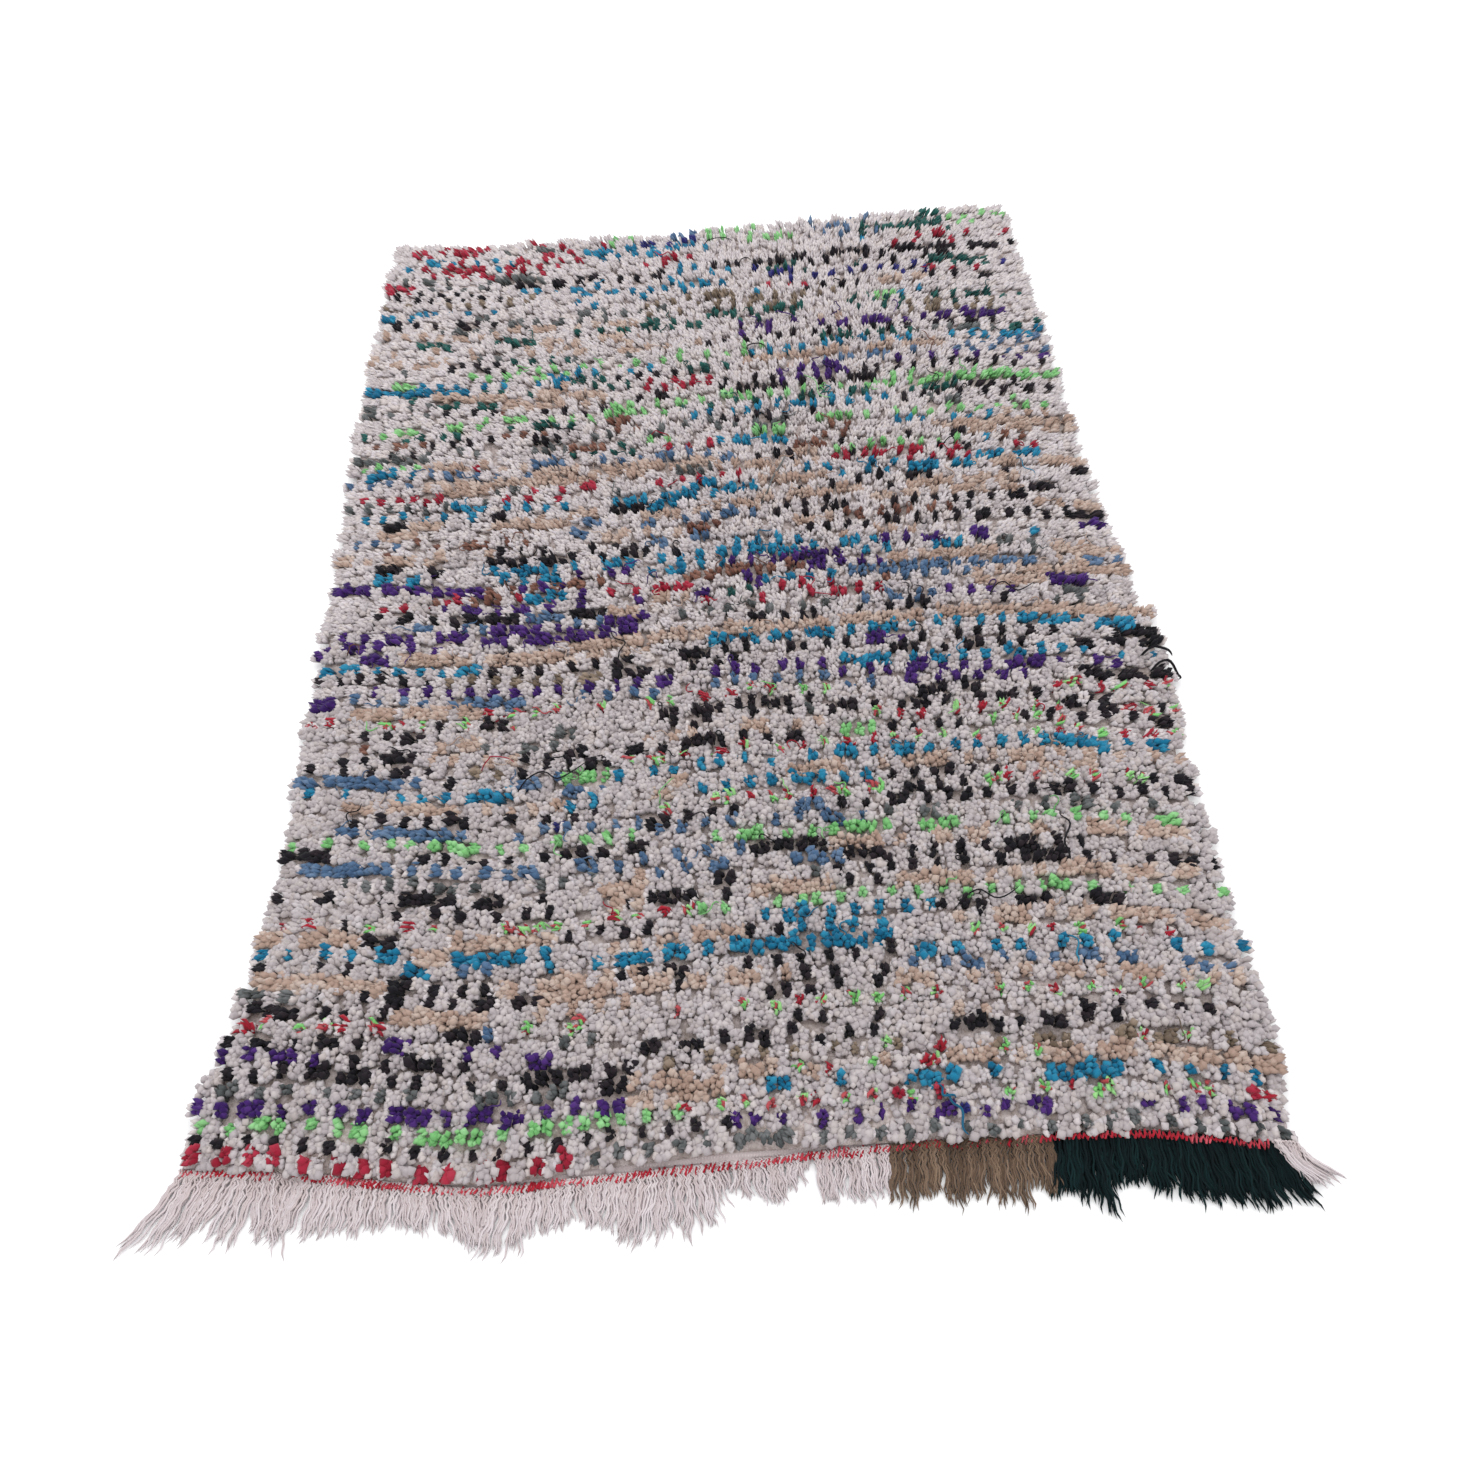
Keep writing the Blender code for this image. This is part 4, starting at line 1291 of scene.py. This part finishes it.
@dataclass
class TwinedRow:
    """The red row twined over the warps along the hem: yarn that zigzags in short stretches.

    layers says how many yarns lie over each other there, so the row is thick in places and broken
    in others. Those above the first take upper_wave and upper_swing as shares of its waves and its
    swing. overlap is how far a stretch reaches past its own end, and raised how far the row is
    lifted where the thick warps pass under it. ripples are how strong and how fine its zigzag's
    two kinds of unevenness are, and bob, loop and stray how far it moves up, along and aside.
    """

    plan: RugPlan
    start: float = -0.757
    end: float = 0.752
    wave: float = 0.0063
    stretch: float = 0.026
    swing: float = 0.0060
    middle: float = 0.0030
    height: float = 0.0066
    yarn: float = 0.0017
    points: int = 26
    most_layers: int = 3
    layer_height: float = 0.0013
    upper_wave: float = 0.72
    upper_swing: float = 0.85
    layer_turn: float = 2.1
    overlap: float = 0.002
    shift: float = 0.006
    ripples: tuple[tuple[float, float], ...] = ((0.9, 410.0), (0.5, 1130.0))
    bob: float = 0.0010
    loop: float = 0.0014
    stray: float = 0.0010
    layers: Curve = Curve(
        (-0.757, -0.73, -0.62, -0.55, -0.45, -0.42, -0.30, -0.25, -0.21, -0.14, -0.10, -0.05, 0.20,
         0.30, 0.42, 0.45, 0.70, 0.757),
        (0.7, 0.9, 0.9, 1.7, 2.0, 1.0, 1.0, 2.0, 0.9, 1.6, 1.0, 1.1, 1.0, 1.2, 0.9, 0.8, 0.8, 0.4),
    )
    raised: Curve = Curve((0.41, 0.45, 0.73, 0.757), (0.0, 0.0075, 0.0075, 0.004))
    rng: np.random.Generator = field(default_factory=lambda: np.random.default_rng(SEED + 1))

    def build(self) -> list[bpy.types.Object]:
        """Lay the yarn along the hem, stretch by stretch."""
        begin, layer = self._stretches()
        count = len(begin)
        x = begin + np.linspace(-self.overlap, self.stretch + self.overlap, self.points)[None]
        x = x + self.shift * self.rng.normal(0, 1, (count, 1)) * (layer > 0)
        x = np.clip(x, self.start, self.end)
        turn = self._turn(x, layer)
        swing = self.swing * self.rng.normal(1.0, 0.16, (count, 1))
        swing = swing * np.where(layer > 0, self.upper_swing, 1.0)
        swing = swing * (1.0 + 0.35 * np.sin(x * 700.0 + 2.0 * layer) * np.sin(x * 233.0))
        y = self.plan.hem.at(x) - self.middle + swing * np.sin(turn)
        y = y + self.stray * self.rng.normal(0, 1, (count, 1))
        z = self.height + self.raised.at(x) + self.bob * np.cos(turn) + self.layer_height * layer
        path = np.stack([x + self.loop * np.sin(2 * turn), y, z], axis=2)
        radius = self.yarn * self.rng.normal(1.0, 0.1, (count, self.points - 2))
        side = np.tile(UP, (count, 1))
        shade = self.rng.integers(0, SHADES, count)
        strands = Strands(path, radius, shade, side, 4)
        return put_strands("twined_yarns", strands, wool(RED_YARN), RecordSlot.RED, "twined_row")

    def _stretches(self) -> tuple[np.ndarray, np.ndarray]:
        """Where each stretch of yarn begins, and how many stretches lie under it."""
        kept = [
            (begin, layer)
            for layer in range(self.most_layers)
            for begin in np.arange(self.start, self.end, self.stretch)
            if self.rng.random() < self.layers.at(begin + 0.5 * self.stretch) - layer
        ]
        begins, layers = (np.array(part)[:, None] for part in zip(*kept))
        return begins, layers

    def _turn(self, x: np.ndarray, layer: np.ndarray) -> np.ndarray:
        """How far round its zigzag the yarn is at each place, in radians."""
        wave = self.wave * np.where(layer > 0, self.upper_wave, 1.0)
        turn = x / wave * math.tau + layer * self.layer_turn
        (slow, broad), (quick, fine) = self.ripples
        return turn + slow * np.sin(x * broad + layer) + quick * np.sin(x * fine)


@dataclass(frozen=True)
class FringeGroup:
    """One group of warp ends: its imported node, its reach along the hem and how its yarn lies.

    pile is how high the ends lie over each other, crimp how far the weave has bent them, gather
    how much of the way they are drawn to their clump's middle, swing how far clumps turn aside,
    short what their lengths are multiplied by, and turned how far the whole group turns aside.
    """

    node: str
    start: float
    end: float
    strands: int
    finish: WoolFinish
    slot: RecordSlot
    yarn: float = 0.0022
    pile: float = 0.005
    crimp: float = 0.0024
    gather: float = 0.7
    swing: float = 0.09
    short: float = 1.0
    turned: float = 0.0


FRINGE_GROUPS = (
    FringeGroup(
        "fringe_cream_left", -0.757, -0.349, 330, CREAM_WARP, RecordSlot.CREAM,
        gather=0.9, swing=0.13,
    ),
    FringeGroup("fringe_cream_middle", -0.346, 0.104, 362, CREAM_WARP, RecordSlot.CREAM),
    FringeGroup("fringe_pale", 0.111, 0.213, 84, CREAM_WARP, RecordSlot.CREAM),
    FringeGroup(
        "fringe_brown", 0.216, 0.436, 236, BROWN_WARP, RecordSlot.BROWN,
        pile=0.006, crimp=0.0026, gather=0.55, swing=0.06,
    ),
    FringeGroup(
        "fringe_dark_green", 0.438, 0.748, 520, GREEN_WARP, RecordSlot.GREEN,
        yarn=0.0026, pile=0.011, crimp=0.0006, gather=0.45, swing=0.05,
    ),
    FringeGroup(
        "fringe_corner", 0.730, 0.762, 96, CREAM_WARP, RecordSlot.CREAM,
        pile=0.018, crimp=0.0016, gather=0.25, swing=0.40, short=0.66, turned=0.42,
    ),
)


@dataclass
class Fringe:
    """The warp ends beyond the twined row: crimped at their roots, in loose clumps at their tips.

    clump is the clumps' width, mixed how far strands stray to the clumps beside their own, and
    under how far the roots reach in under the row. cut is the ends' length as a share of the
    longest, uneven how much that differs from clump to clump and within them. close packs the
    rings towards the roots. wavelength and bend are those of the strands' slow bends, stray how
    far their tips part, and clearance and floor_room keep them off the floor.
    """

    plan: RugPlan
    length: Curve = Curve(
        (-0.757, -0.70, -0.58, -0.45, -0.36, -0.325, -0.22, -0.10, -0.028, -0.020, 0.00, 0.03, 0.06,
         0.085, 0.105, 0.112, 0.15, 0.39, 0.44, 0.466, 0.478, 0.490, 0.502, 0.565, 0.63, 0.72,
         0.757),
        (0.094, 0.092, 0.084, 0.066, 0.070, 0.088, 0.060, 0.090, 0.080, 0.044, 0.040, 0.052, 0.058,
         0.042, 0.018, 0.062, 0.067, 0.083, 0.072, 0.072, 0.098, 0.098, 0.072, 0.070, 0.084, 0.076,
         0.062),
    )
    lean: Curve = Curve(
        (-0.757, -0.70, -0.58, -0.45, -0.36, -0.325, -0.22, -0.10, -0.03, 0.15, 0.39, 0.48, 0.565,
         0.63, 0.70, 0.735, 0.757),
        (-0.60, -0.34, -0.08, 0.02, 0.05, 0.00, -0.05, 0.00, 0.06, 0.02, -0.03, 0.00, 0.02, 0.05,
         0.17, 0.34, 0.50),
    )
    rings: int = 12
    clump: float = 0.016
    most_clumps: int = 400
    mixed: float = 0.25
    under: float = 0.004
    cut: float = 0.95
    uneven: tuple[float, float] = (0.07, 0.10)
    close: float = 1.35
    aside: float = 0.08
    crimp_uneven: float = 0.35
    bend: float = 0.0022
    stray: float = 0.004
    wavelength: float = 0.034
    clearance: float = 0.0006
    floor_room: float = 1.05
    rng: np.random.Generator = field(default_factory=lambda: np.random.default_rng(SEED + 2))

    def build(self) -> list[bpy.types.Object]:
        """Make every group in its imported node's place."""
        pieces = []
        for group in FRINGE_GROUPS:
            strands = self._strands(group)
            name = group.node.replace("fringe", "warp_ends")
            pieces += put_strands(name, strands, wool(group.finish), group.slot, group.node)
        return pieces

    def _strands(self, group: FringeGroup) -> Strands:
        """Lay one group's warp ends.

        Args:
            group: The group.

        Returns:
            Its ends as strands.
        """
        rng, count = self.rng, group.strands
        even = np.linspace(group.start, group.end, count)
        x = 0.5 * even + 0.5 * np.sort(rng.uniform(group.start, group.end, count))
        t = (np.linspace(0.0, 1.0, self.rings + 2) ** self.close)[None, :]
        heart = np.round(x / self.clump + rng.normal(0, self.mixed, count))
        kinds = np.random.default_rng(SEED + 5).normal(0.0, 1.0, (2, self.most_clumps))
        locks = kinds[:, heart.astype(int)]
        among, within = self.uneven
        length = self.length.at(x) * (self.cut + among * locks[0]) * rng.normal(1.0, within, count)
        length = length * group.short
        aside = self.lean.at(x) + group.turned + group.swing * locks[1]
        aside = (aside + rng.normal(0, self.aside, count)) * length
        pull = rng.uniform(0.1, 1.0, (count, 1)) * group.gather
        drawn = (heart * self.clump - x)[:, None] * pull * ease(t)
        crimp = self._crimp(group, t)
        px = x[:, None] + aside[:, None] * t**1.3 + drawn + crimp + self._bends(t, length, locks[0])
        py = self.plan.hem.at(x)[:, None] + self.under - (length[:, None] + self.under) * t
        lift = group.yarn + rng.random(count)[:, None] * group.pile
        pz = lift * (1.0 - 0.5 * ease(t)) + self.clearance
        shape = np.interp(np.linspace(0, 1, self.rings), (0, 0.7, 1), (1.0, 1.0, 0.6))
        radius = group.yarn * shape[None] * rng.normal(1.0, 0.12, (count, 1))
        floor = self.floor_room * np.maximum(radius[:, :1], group.yarn)
        path = np.stack([px, py, np.maximum(pz, floor)], axis=2)
        side = np.tile(ACROSS, (count, 1))
        return Strands(path, radius, rng.integers(0, SHADES, count), side, 3)

    def _crimp(self, group: FringeGroup, t: np.ndarray) -> np.ndarray:
        """How far the weave has bent each strand to either side, which fades from its root."""
        way = np.where(np.arange(self.rings + 2) % 2 == 0, 1.0, -1.0)[None]
        crimp = group.crimp * way * (1.0 - 0.85 * ease(t * 1.6)) * np.minimum(t * 14, 1.0)
        return crimp * self.rng.normal(1.0, self.crimp_uneven, (group.strands, self.rings + 2))

    def _bends(self, t: np.ndarray, length: np.ndarray, lock: np.ndarray) -> np.ndarray:
        """How far each strand's slow bends, much alike in a clump, and its stray tip turn it."""
        turn = t * (length[:, None] / self.wavelength) * math.tau + 0.7 * lock[:, None] * math.tau
        turn = turn + self.rng.normal(0, 0.5, (len(length), 1))
        bends = self.bend * np.sin(turn) * ease(t * 1.5)
        return bends + self.stray * self.rng.normal(0, 1, (len(length), 1)) * t**2


@dataclass(frozen=True)
class LooseEnd:
    """One long end of yarn that lies over the pile.

    places holds what it passes over, each as a share of the way across and a row of the chart.
    """

    yarn: Yarn
    places: tuple[tuple[float, float], ...]
    thick: float = 0.0016


LOOSE_ENDS = (
    LooseEnd(Yarn.BLACK, ((0.25, 25.0), (0.275, 26.4), (0.30, 25.8), (0.33, 27.0))),
    LooseEnd(Yarn.LIME, ((0.41, 23.0), (0.415, 24.2), (0.43, 25.0)), 0.0013),
    LooseEnd(Yarn.BLACK, ((0.71, 13.5), (0.735, 14.6), (0.76, 14.0), (0.78, 14.7))),
    LooseEnd(Yarn.BLACK, ((0.84, 16.0), (0.838, 17.6), (0.845, 19.0), (0.84, 20.0)), 0.0019),
    LooseEnd(Yarn.BLACK, ((0.36, 36.0), (0.37, 37.2), (0.355, 38.5))),
    LooseEnd(Yarn.CHARCOAL, ((0.555, 51.0), (0.572, 53.0), (0.585, 55.0), (0.60, 56.5)), 0.0024),
    LooseEnd(Yarn.LIME, ((0.62, 67.0), (0.645, 66.0), (0.65, 64.0), (0.67, 63.0)), 0.0014),
    LooseEnd(Yarn.PURPLE, ((0.57, 74.0), (0.575, 75.0), (0.565, 76.0)), 0.0015),
    LooseEnd(Yarn.PURPLE, ((0.60, 76.5), (0.62, 75.5), (0.64, 74.0)), 0.0015),
    LooseEnd(Yarn.PURPLE, ((0.69, 77.0), (0.70, 75.8), (0.685, 74.5)), 0.0015),
    LooseEnd(Yarn.PURPLE, ((0.78, 76.5), (0.785, 75.0), (0.775, 74.0)), 0.0015),
    LooseEnd(Yarn.BLACK, ((0.57, 69.5), (0.555, 71.0), (0.575, 71.6), (0.585, 70.3))),
    LooseEnd(Yarn.RED, ((0.41, 59.5), (0.42, 60.6), (0.435, 60.3), (0.44, 59.4)), 0.0013),
    LooseEnd(Yarn.CERULEAN, ((0.82, 11.5), (0.828, 10.4), (0.822, 9.2)), 0.0018),
    LooseEnd(Yarn.CERULEAN, ((0.69, 2.2), (0.700, 1.3), (0.706, 0.4), (0.712, -0.6)), 0.0022),
    LooseEnd(Yarn.CERULEAN, ((0.68, 2.6), (0.690, 1.9), (0.700, 1.5)), 0.0022),
    LooseEnd(Yarn.CERULEAN, ((0.90, 54.0), (0.91, 52.8), (0.92, 51.5)), 0.0012),
    LooseEnd(Yarn.BLACK, ((0.81, 39.0), (0.83, 40.2), (0.85, 39.4), (0.87, 40.0))),
    LooseEnd(Yarn.BROWN, ((0.82, 68.5), (0.825, 69.8), (0.81, 71.0)), 0.0015),
    LooseEnd(Yarn.BLACK, ((0.81, 63.0), (0.82, 64.5), (0.805, 66.0)), 0.0014),
    LooseEnd(Yarn.RED, ((0.59, 43.0), (0.605, 42.0), (0.60, 41.0), (0.63, 40.0)), 0.0013),
    LooseEnd(Yarn.PURPLE, ((0.40, 43.0), (0.41, 44.2), (0.42, 43.4)), 0.0012),
    LooseEnd(Yarn.BROWN, ((0.23, 49.0), (0.24, 49.6), (0.25, 49.0)), 0.0014),
    LooseEnd(Yarn.BOTTLE, ((0.65, 63.4), (0.66, 64.2), (0.67, 64.8)), 0.0018),
    LooseEnd(Yarn.BOTTLE, ((0.65, 64.8), (0.66, 64.0), (0.672, 63.4)), 0.0018),
    LooseEnd(Yarn.BLACK, ((0.965, 32.0), (0.985, 32.7), (1.002, 32.1), (0.996, 31.3)), 0.0028),
    LooseEnd(Yarn.BLACK, ((0.96, 33.4), (0.982, 34.0), (1.000, 33.6)), 0.0028),
    LooseEnd(Yarn.BLACK, ((0.50, 88.0), (0.525, 88.8), (0.55, 88.0)), 0.0012),
    LooseEnd(Yarn.BROWN, ((0.04, 37.0), (0.05, 37.8), (0.06, 37.0)), 0.0014),
    LooseEnd(Yarn.RED, ((0.21, 27.0), (0.225, 28.0), (0.25, 27.4)), 0.0013),
    LooseEnd(Yarn.TAN, ((0.22, 28.0), (0.235, 27.2), (0.25, 28.0)), 0.0014),
)


@dataclass
class LooseEnds:
    """Long yarn ends that were never trimmed and curl over the pile.

    Those that stand out in the photo are laid one by one. Shorter ones come from knots chosen at
    random, mostly in the middle of the rug and no nearer to its sides than inner. above is their
    height over standing pile, low the least share of it over pile that leans, and sunk the share
    at which they leave it. turning is how far a curl turns, in radians.
    """

    plan: RugPlan
    points: int = 16
    above: float = 0.0350
    low: float = 0.35
    sunk: float = 0.6
    laid_sunk: float = 0.62
    turning: float = 2.4
    weaving: float = 0.8
    inner: float = 0.06
    wander: float = 0.0034
    often: Curve = Curve((0.0, 0.15, 0.35, 0.50, 0.75, 1.0), (0.02, 0.05, 0.18, 0.22, 0.13, 0.03))
    reach: tuple[float, float] = (0.024, 0.052)
    thick: float = 0.0014
    rng: np.random.Generator = field(default_factory=lambda: np.random.default_rng(SEED + 3))

    def build(self, knots: Knots) -> list[bpy.types.Object]:
        """Lay the loose ends, a piece for each yarn.

        Args:
            knots: The knots of the pile.

        Returns:
            The pieces.
        """
        pieces = []
        for yarn, stock in STOCKS.items():
            laid = [end for end in LOOSE_ENDS if end.yarn is yarn]
            own = knots.of(yarn)
            inner = np.minimum(own.x - self.plan.left.at(own.y), self.plan.right.at(own.y) - own.x)
            often = self.often.at(own.v) * (inner > self.inner)
            own = own.kept(self.rng.random(len(own.x)) < often)
            if yarn is Yarn.GROUND or not laid and not len(own.x):
                continue
            paths = [self._path(end) for end in laid] + list(self._curls(own))
            thick = np.array([end.thick for end in laid] + [self.thick] * len(own.x))
            shape = np.interp(np.linspace(0, 1, self.points - 2), (0, 0.8, 1), (1.0, 1.0, 0.6))
            shade = self.rng.integers(0, SHADES, len(paths))
            side = np.tile(UP, (len(paths), 1))
            strands = Strands(np.stack(paths), thick[:, None] * shape[None], shade, side, 3)
            name = f"loose_{stock.finish.name}"
            pieces += put_strands(name, strands, wool(stock.finish), RecordSlot.PILE)
        return pieces

    def _curls(self, knots: Knots) -> np.ndarray:
        """Points along an end that curls over the pile from each of some knots."""
        rng, count = self.rng, len(knots.x)
        t = np.linspace(0.0, 1.0, self.points)[None]
        long = rng.uniform(*self.reach, (count, 1))
        heading = rng.uniform(0, math.tau, (count, 1)) + rng.normal(0, self.turning, (count, 1)) * t
        heading = heading + self.weaving * np.sin(t * 7 + rng.uniform(0, math.tau, (count, 1)))
        step = long / (self.points - 1)
        x = knots.x[:, None] + np.cumsum(step * np.cos(heading), axis=1)
        y = knots.y[:, None] + np.cumsum(step * np.sin(heading), axis=1)
        upright = (np.cos(knots.lean_x) * np.cos(knots.lean_y))[:, None]
        cloth = self.plan.cloth_top
        rise = cloth + (self.above - cloth) * np.maximum(upright, self.low)
        z = rise * (self.sunk + (1 - self.sunk) * ease(t * 5)) + self.plan.lift(x, y)
        z = z + 0.0014 * np.sin(t * 8 + rng.uniform(0, math.tau, (count, 1)))
        return np.stack([x, y, z], axis=2)

    def _path(self, end: LooseEnd) -> np.ndarray:
        """Points along one loose end, rising out of the pile and lying over it."""
        knots = tuple(range(len(end.places)))
        t = np.linspace(0, knots[-1], self.points)
        u = Curve(knots, tuple(place[0] for place in end.places)).at(t)
        v = Curve(knots, tuple(place[1] for place in end.places)).at(t) + 0.5
        x, y = self.plan.point(u, v / self.plan.rows)
        share = t / knots[-1]
        sway = self.wander * ease(share * 3) * np.sin(share * 11 + self.rng.random() * math.tau)
        rise = self.above * (self.laid_sunk + (1 - self.laid_sunk) * ease(share * 5))
        rise = rise + self.plan.lift(x, y)
        rise = rise + 0.0015 * np.sin(share * 9 + self.rng.random() * math.tau)
        inside = ease(np.minimum(u, 1 - u) * 25 + 0.45)
        return np.stack([x + sway, y + 0.6 * sway, rise * inside], axis=1)


@dataclass(frozen=True)
class Lamp:
    """A square area light aimed at the rug's middle: its place, size and power."""

    name: str
    place: tuple[float, float, float]
    size: float
    power: float


@dataclass
class Studio:
    """Plain pale floor, soft light from above, and the camera at the photograph's angle.

    place, right and up set the camera, in the rug's frame, and seen is how near and far it sees.
    """

    place: tuple[float, float, float] = (0.0244, -1.7347, 1.7642)
    right: tuple[float, float, float] = (0.99915, -0.03050, -0.02780)
    up: tuple[float, float, float] = (0.04114, 0.78913, 0.61284)
    focal_px: float = 1300.0
    image_px: float = 1457.0
    sensor: float = 36.0
    seen: tuple[float, float] = (0.05, 60.0)
    floor: Rgb = (250, 250, 251)
    floor_size: float = 40.0
    floor_top: float = -0.0002
    sky: float = 1.13
    lamps: tuple[Lamp, ...] = (
        Lamp("overhead", (0.2, 1.1, 3.2), 4.5, 40.0),
        Lamp("window", (-2.4, 2.6, 2.6), 2.5, 22.0),
    )

    def build(self) -> None:
        """Add the floor, the lights and the camera."""
        self._floor()
        self._lights()
        self._camera()
        bpy.context.scene.view_settings.view_transform = "Standard"

    def _floor(self) -> None:
        """A pale floor far larger than the rug."""
        bpy.ops.object.select_all(action="DESELECT")
        bpy.ops.mesh.primitive_plane_add(size=self.floor_size, location=(0, 0, self.floor_top))
        floor = bpy.context.object
        floor.name = "floor"
        nodes = Nodes("pale_floor", {"Base Color": linear(self.floor), "Roughness": 0.9})
        floor.data.materials.append(nodes.material)

    def _lights(self) -> None:
        """A broad light overhead and a lower one from the far left, with a pale sky."""
        for lamp in self.lamps:
            light = bpy.data.lights.new(lamp.name, "AREA")
            light.shape, light.size, light.energy = "SQUARE", lamp.size, lamp.power
            made = bpy.data.objects.new(lamp.name, light)
            made.location = lamp.place
            aim = Vector((0, 0, 0)) - Vector(lamp.place)
            made.rotation_euler = aim.to_track_quat("-Z", "Y").to_euler()
            bpy.context.scene.collection.objects.link(made)
        world = bpy.data.worlds.new("studio")
        world.use_nodes = True
        sky = world.node_tree.nodes["Background"]
        sky.inputs["Color"].default_value = (1.0, 1.0, 1.0, 1)
        sky.inputs["Strength"].default_value = self.sky
        bpy.context.scene.world = world

    def _camera(self) -> None:
        """The camera, fitted to the rug's corners in the photograph."""
        data = bpy.data.cameras.new("camera")
        data.sensor_width = self.sensor
        data.lens = data.sensor_width * self.focal_px / self.image_px
        data.clip_start, data.clip_end = self.seen
        camera = bpy.data.objects.new("camera", data)
        right = Vector(self.right).normalized()
        back = right.cross(Vector(self.up)).normalized()
        up = back.cross(right)
        turned = Matrix((right, up, back)).transposed().to_4x4()
        camera.matrix_world = Matrix.Translation(self.place) @ turned
        bpy.context.scene.collection.objects.link(camera)
        bpy.context.scene.camera = camera


def main() -> None:
    """Build the studio, then the rug from its ground up."""
    logging.basicConfig(level=logging.INFO, format="%(name)s %(message)s")
    plan = RugPlan()
    Studio().build()
    made = [WovenGround(plan).build(), UnderWool(plan).build()]
    pile = KnottedPile(plan)
    knots = pile.knot_rows()
    made += pile.build(knots)
    made += TwinedRow(plan).build()
    made += Fringe(plan).build()
    made += LooseEnds(plan).build(knots)
    faces = sum(len(p.vertices) - 2 for piece in made for p in piece.data.polygons)
    log.info("%d pieces, %d triangles", len(made), faces)


if __name__ == "__main__":
    main()
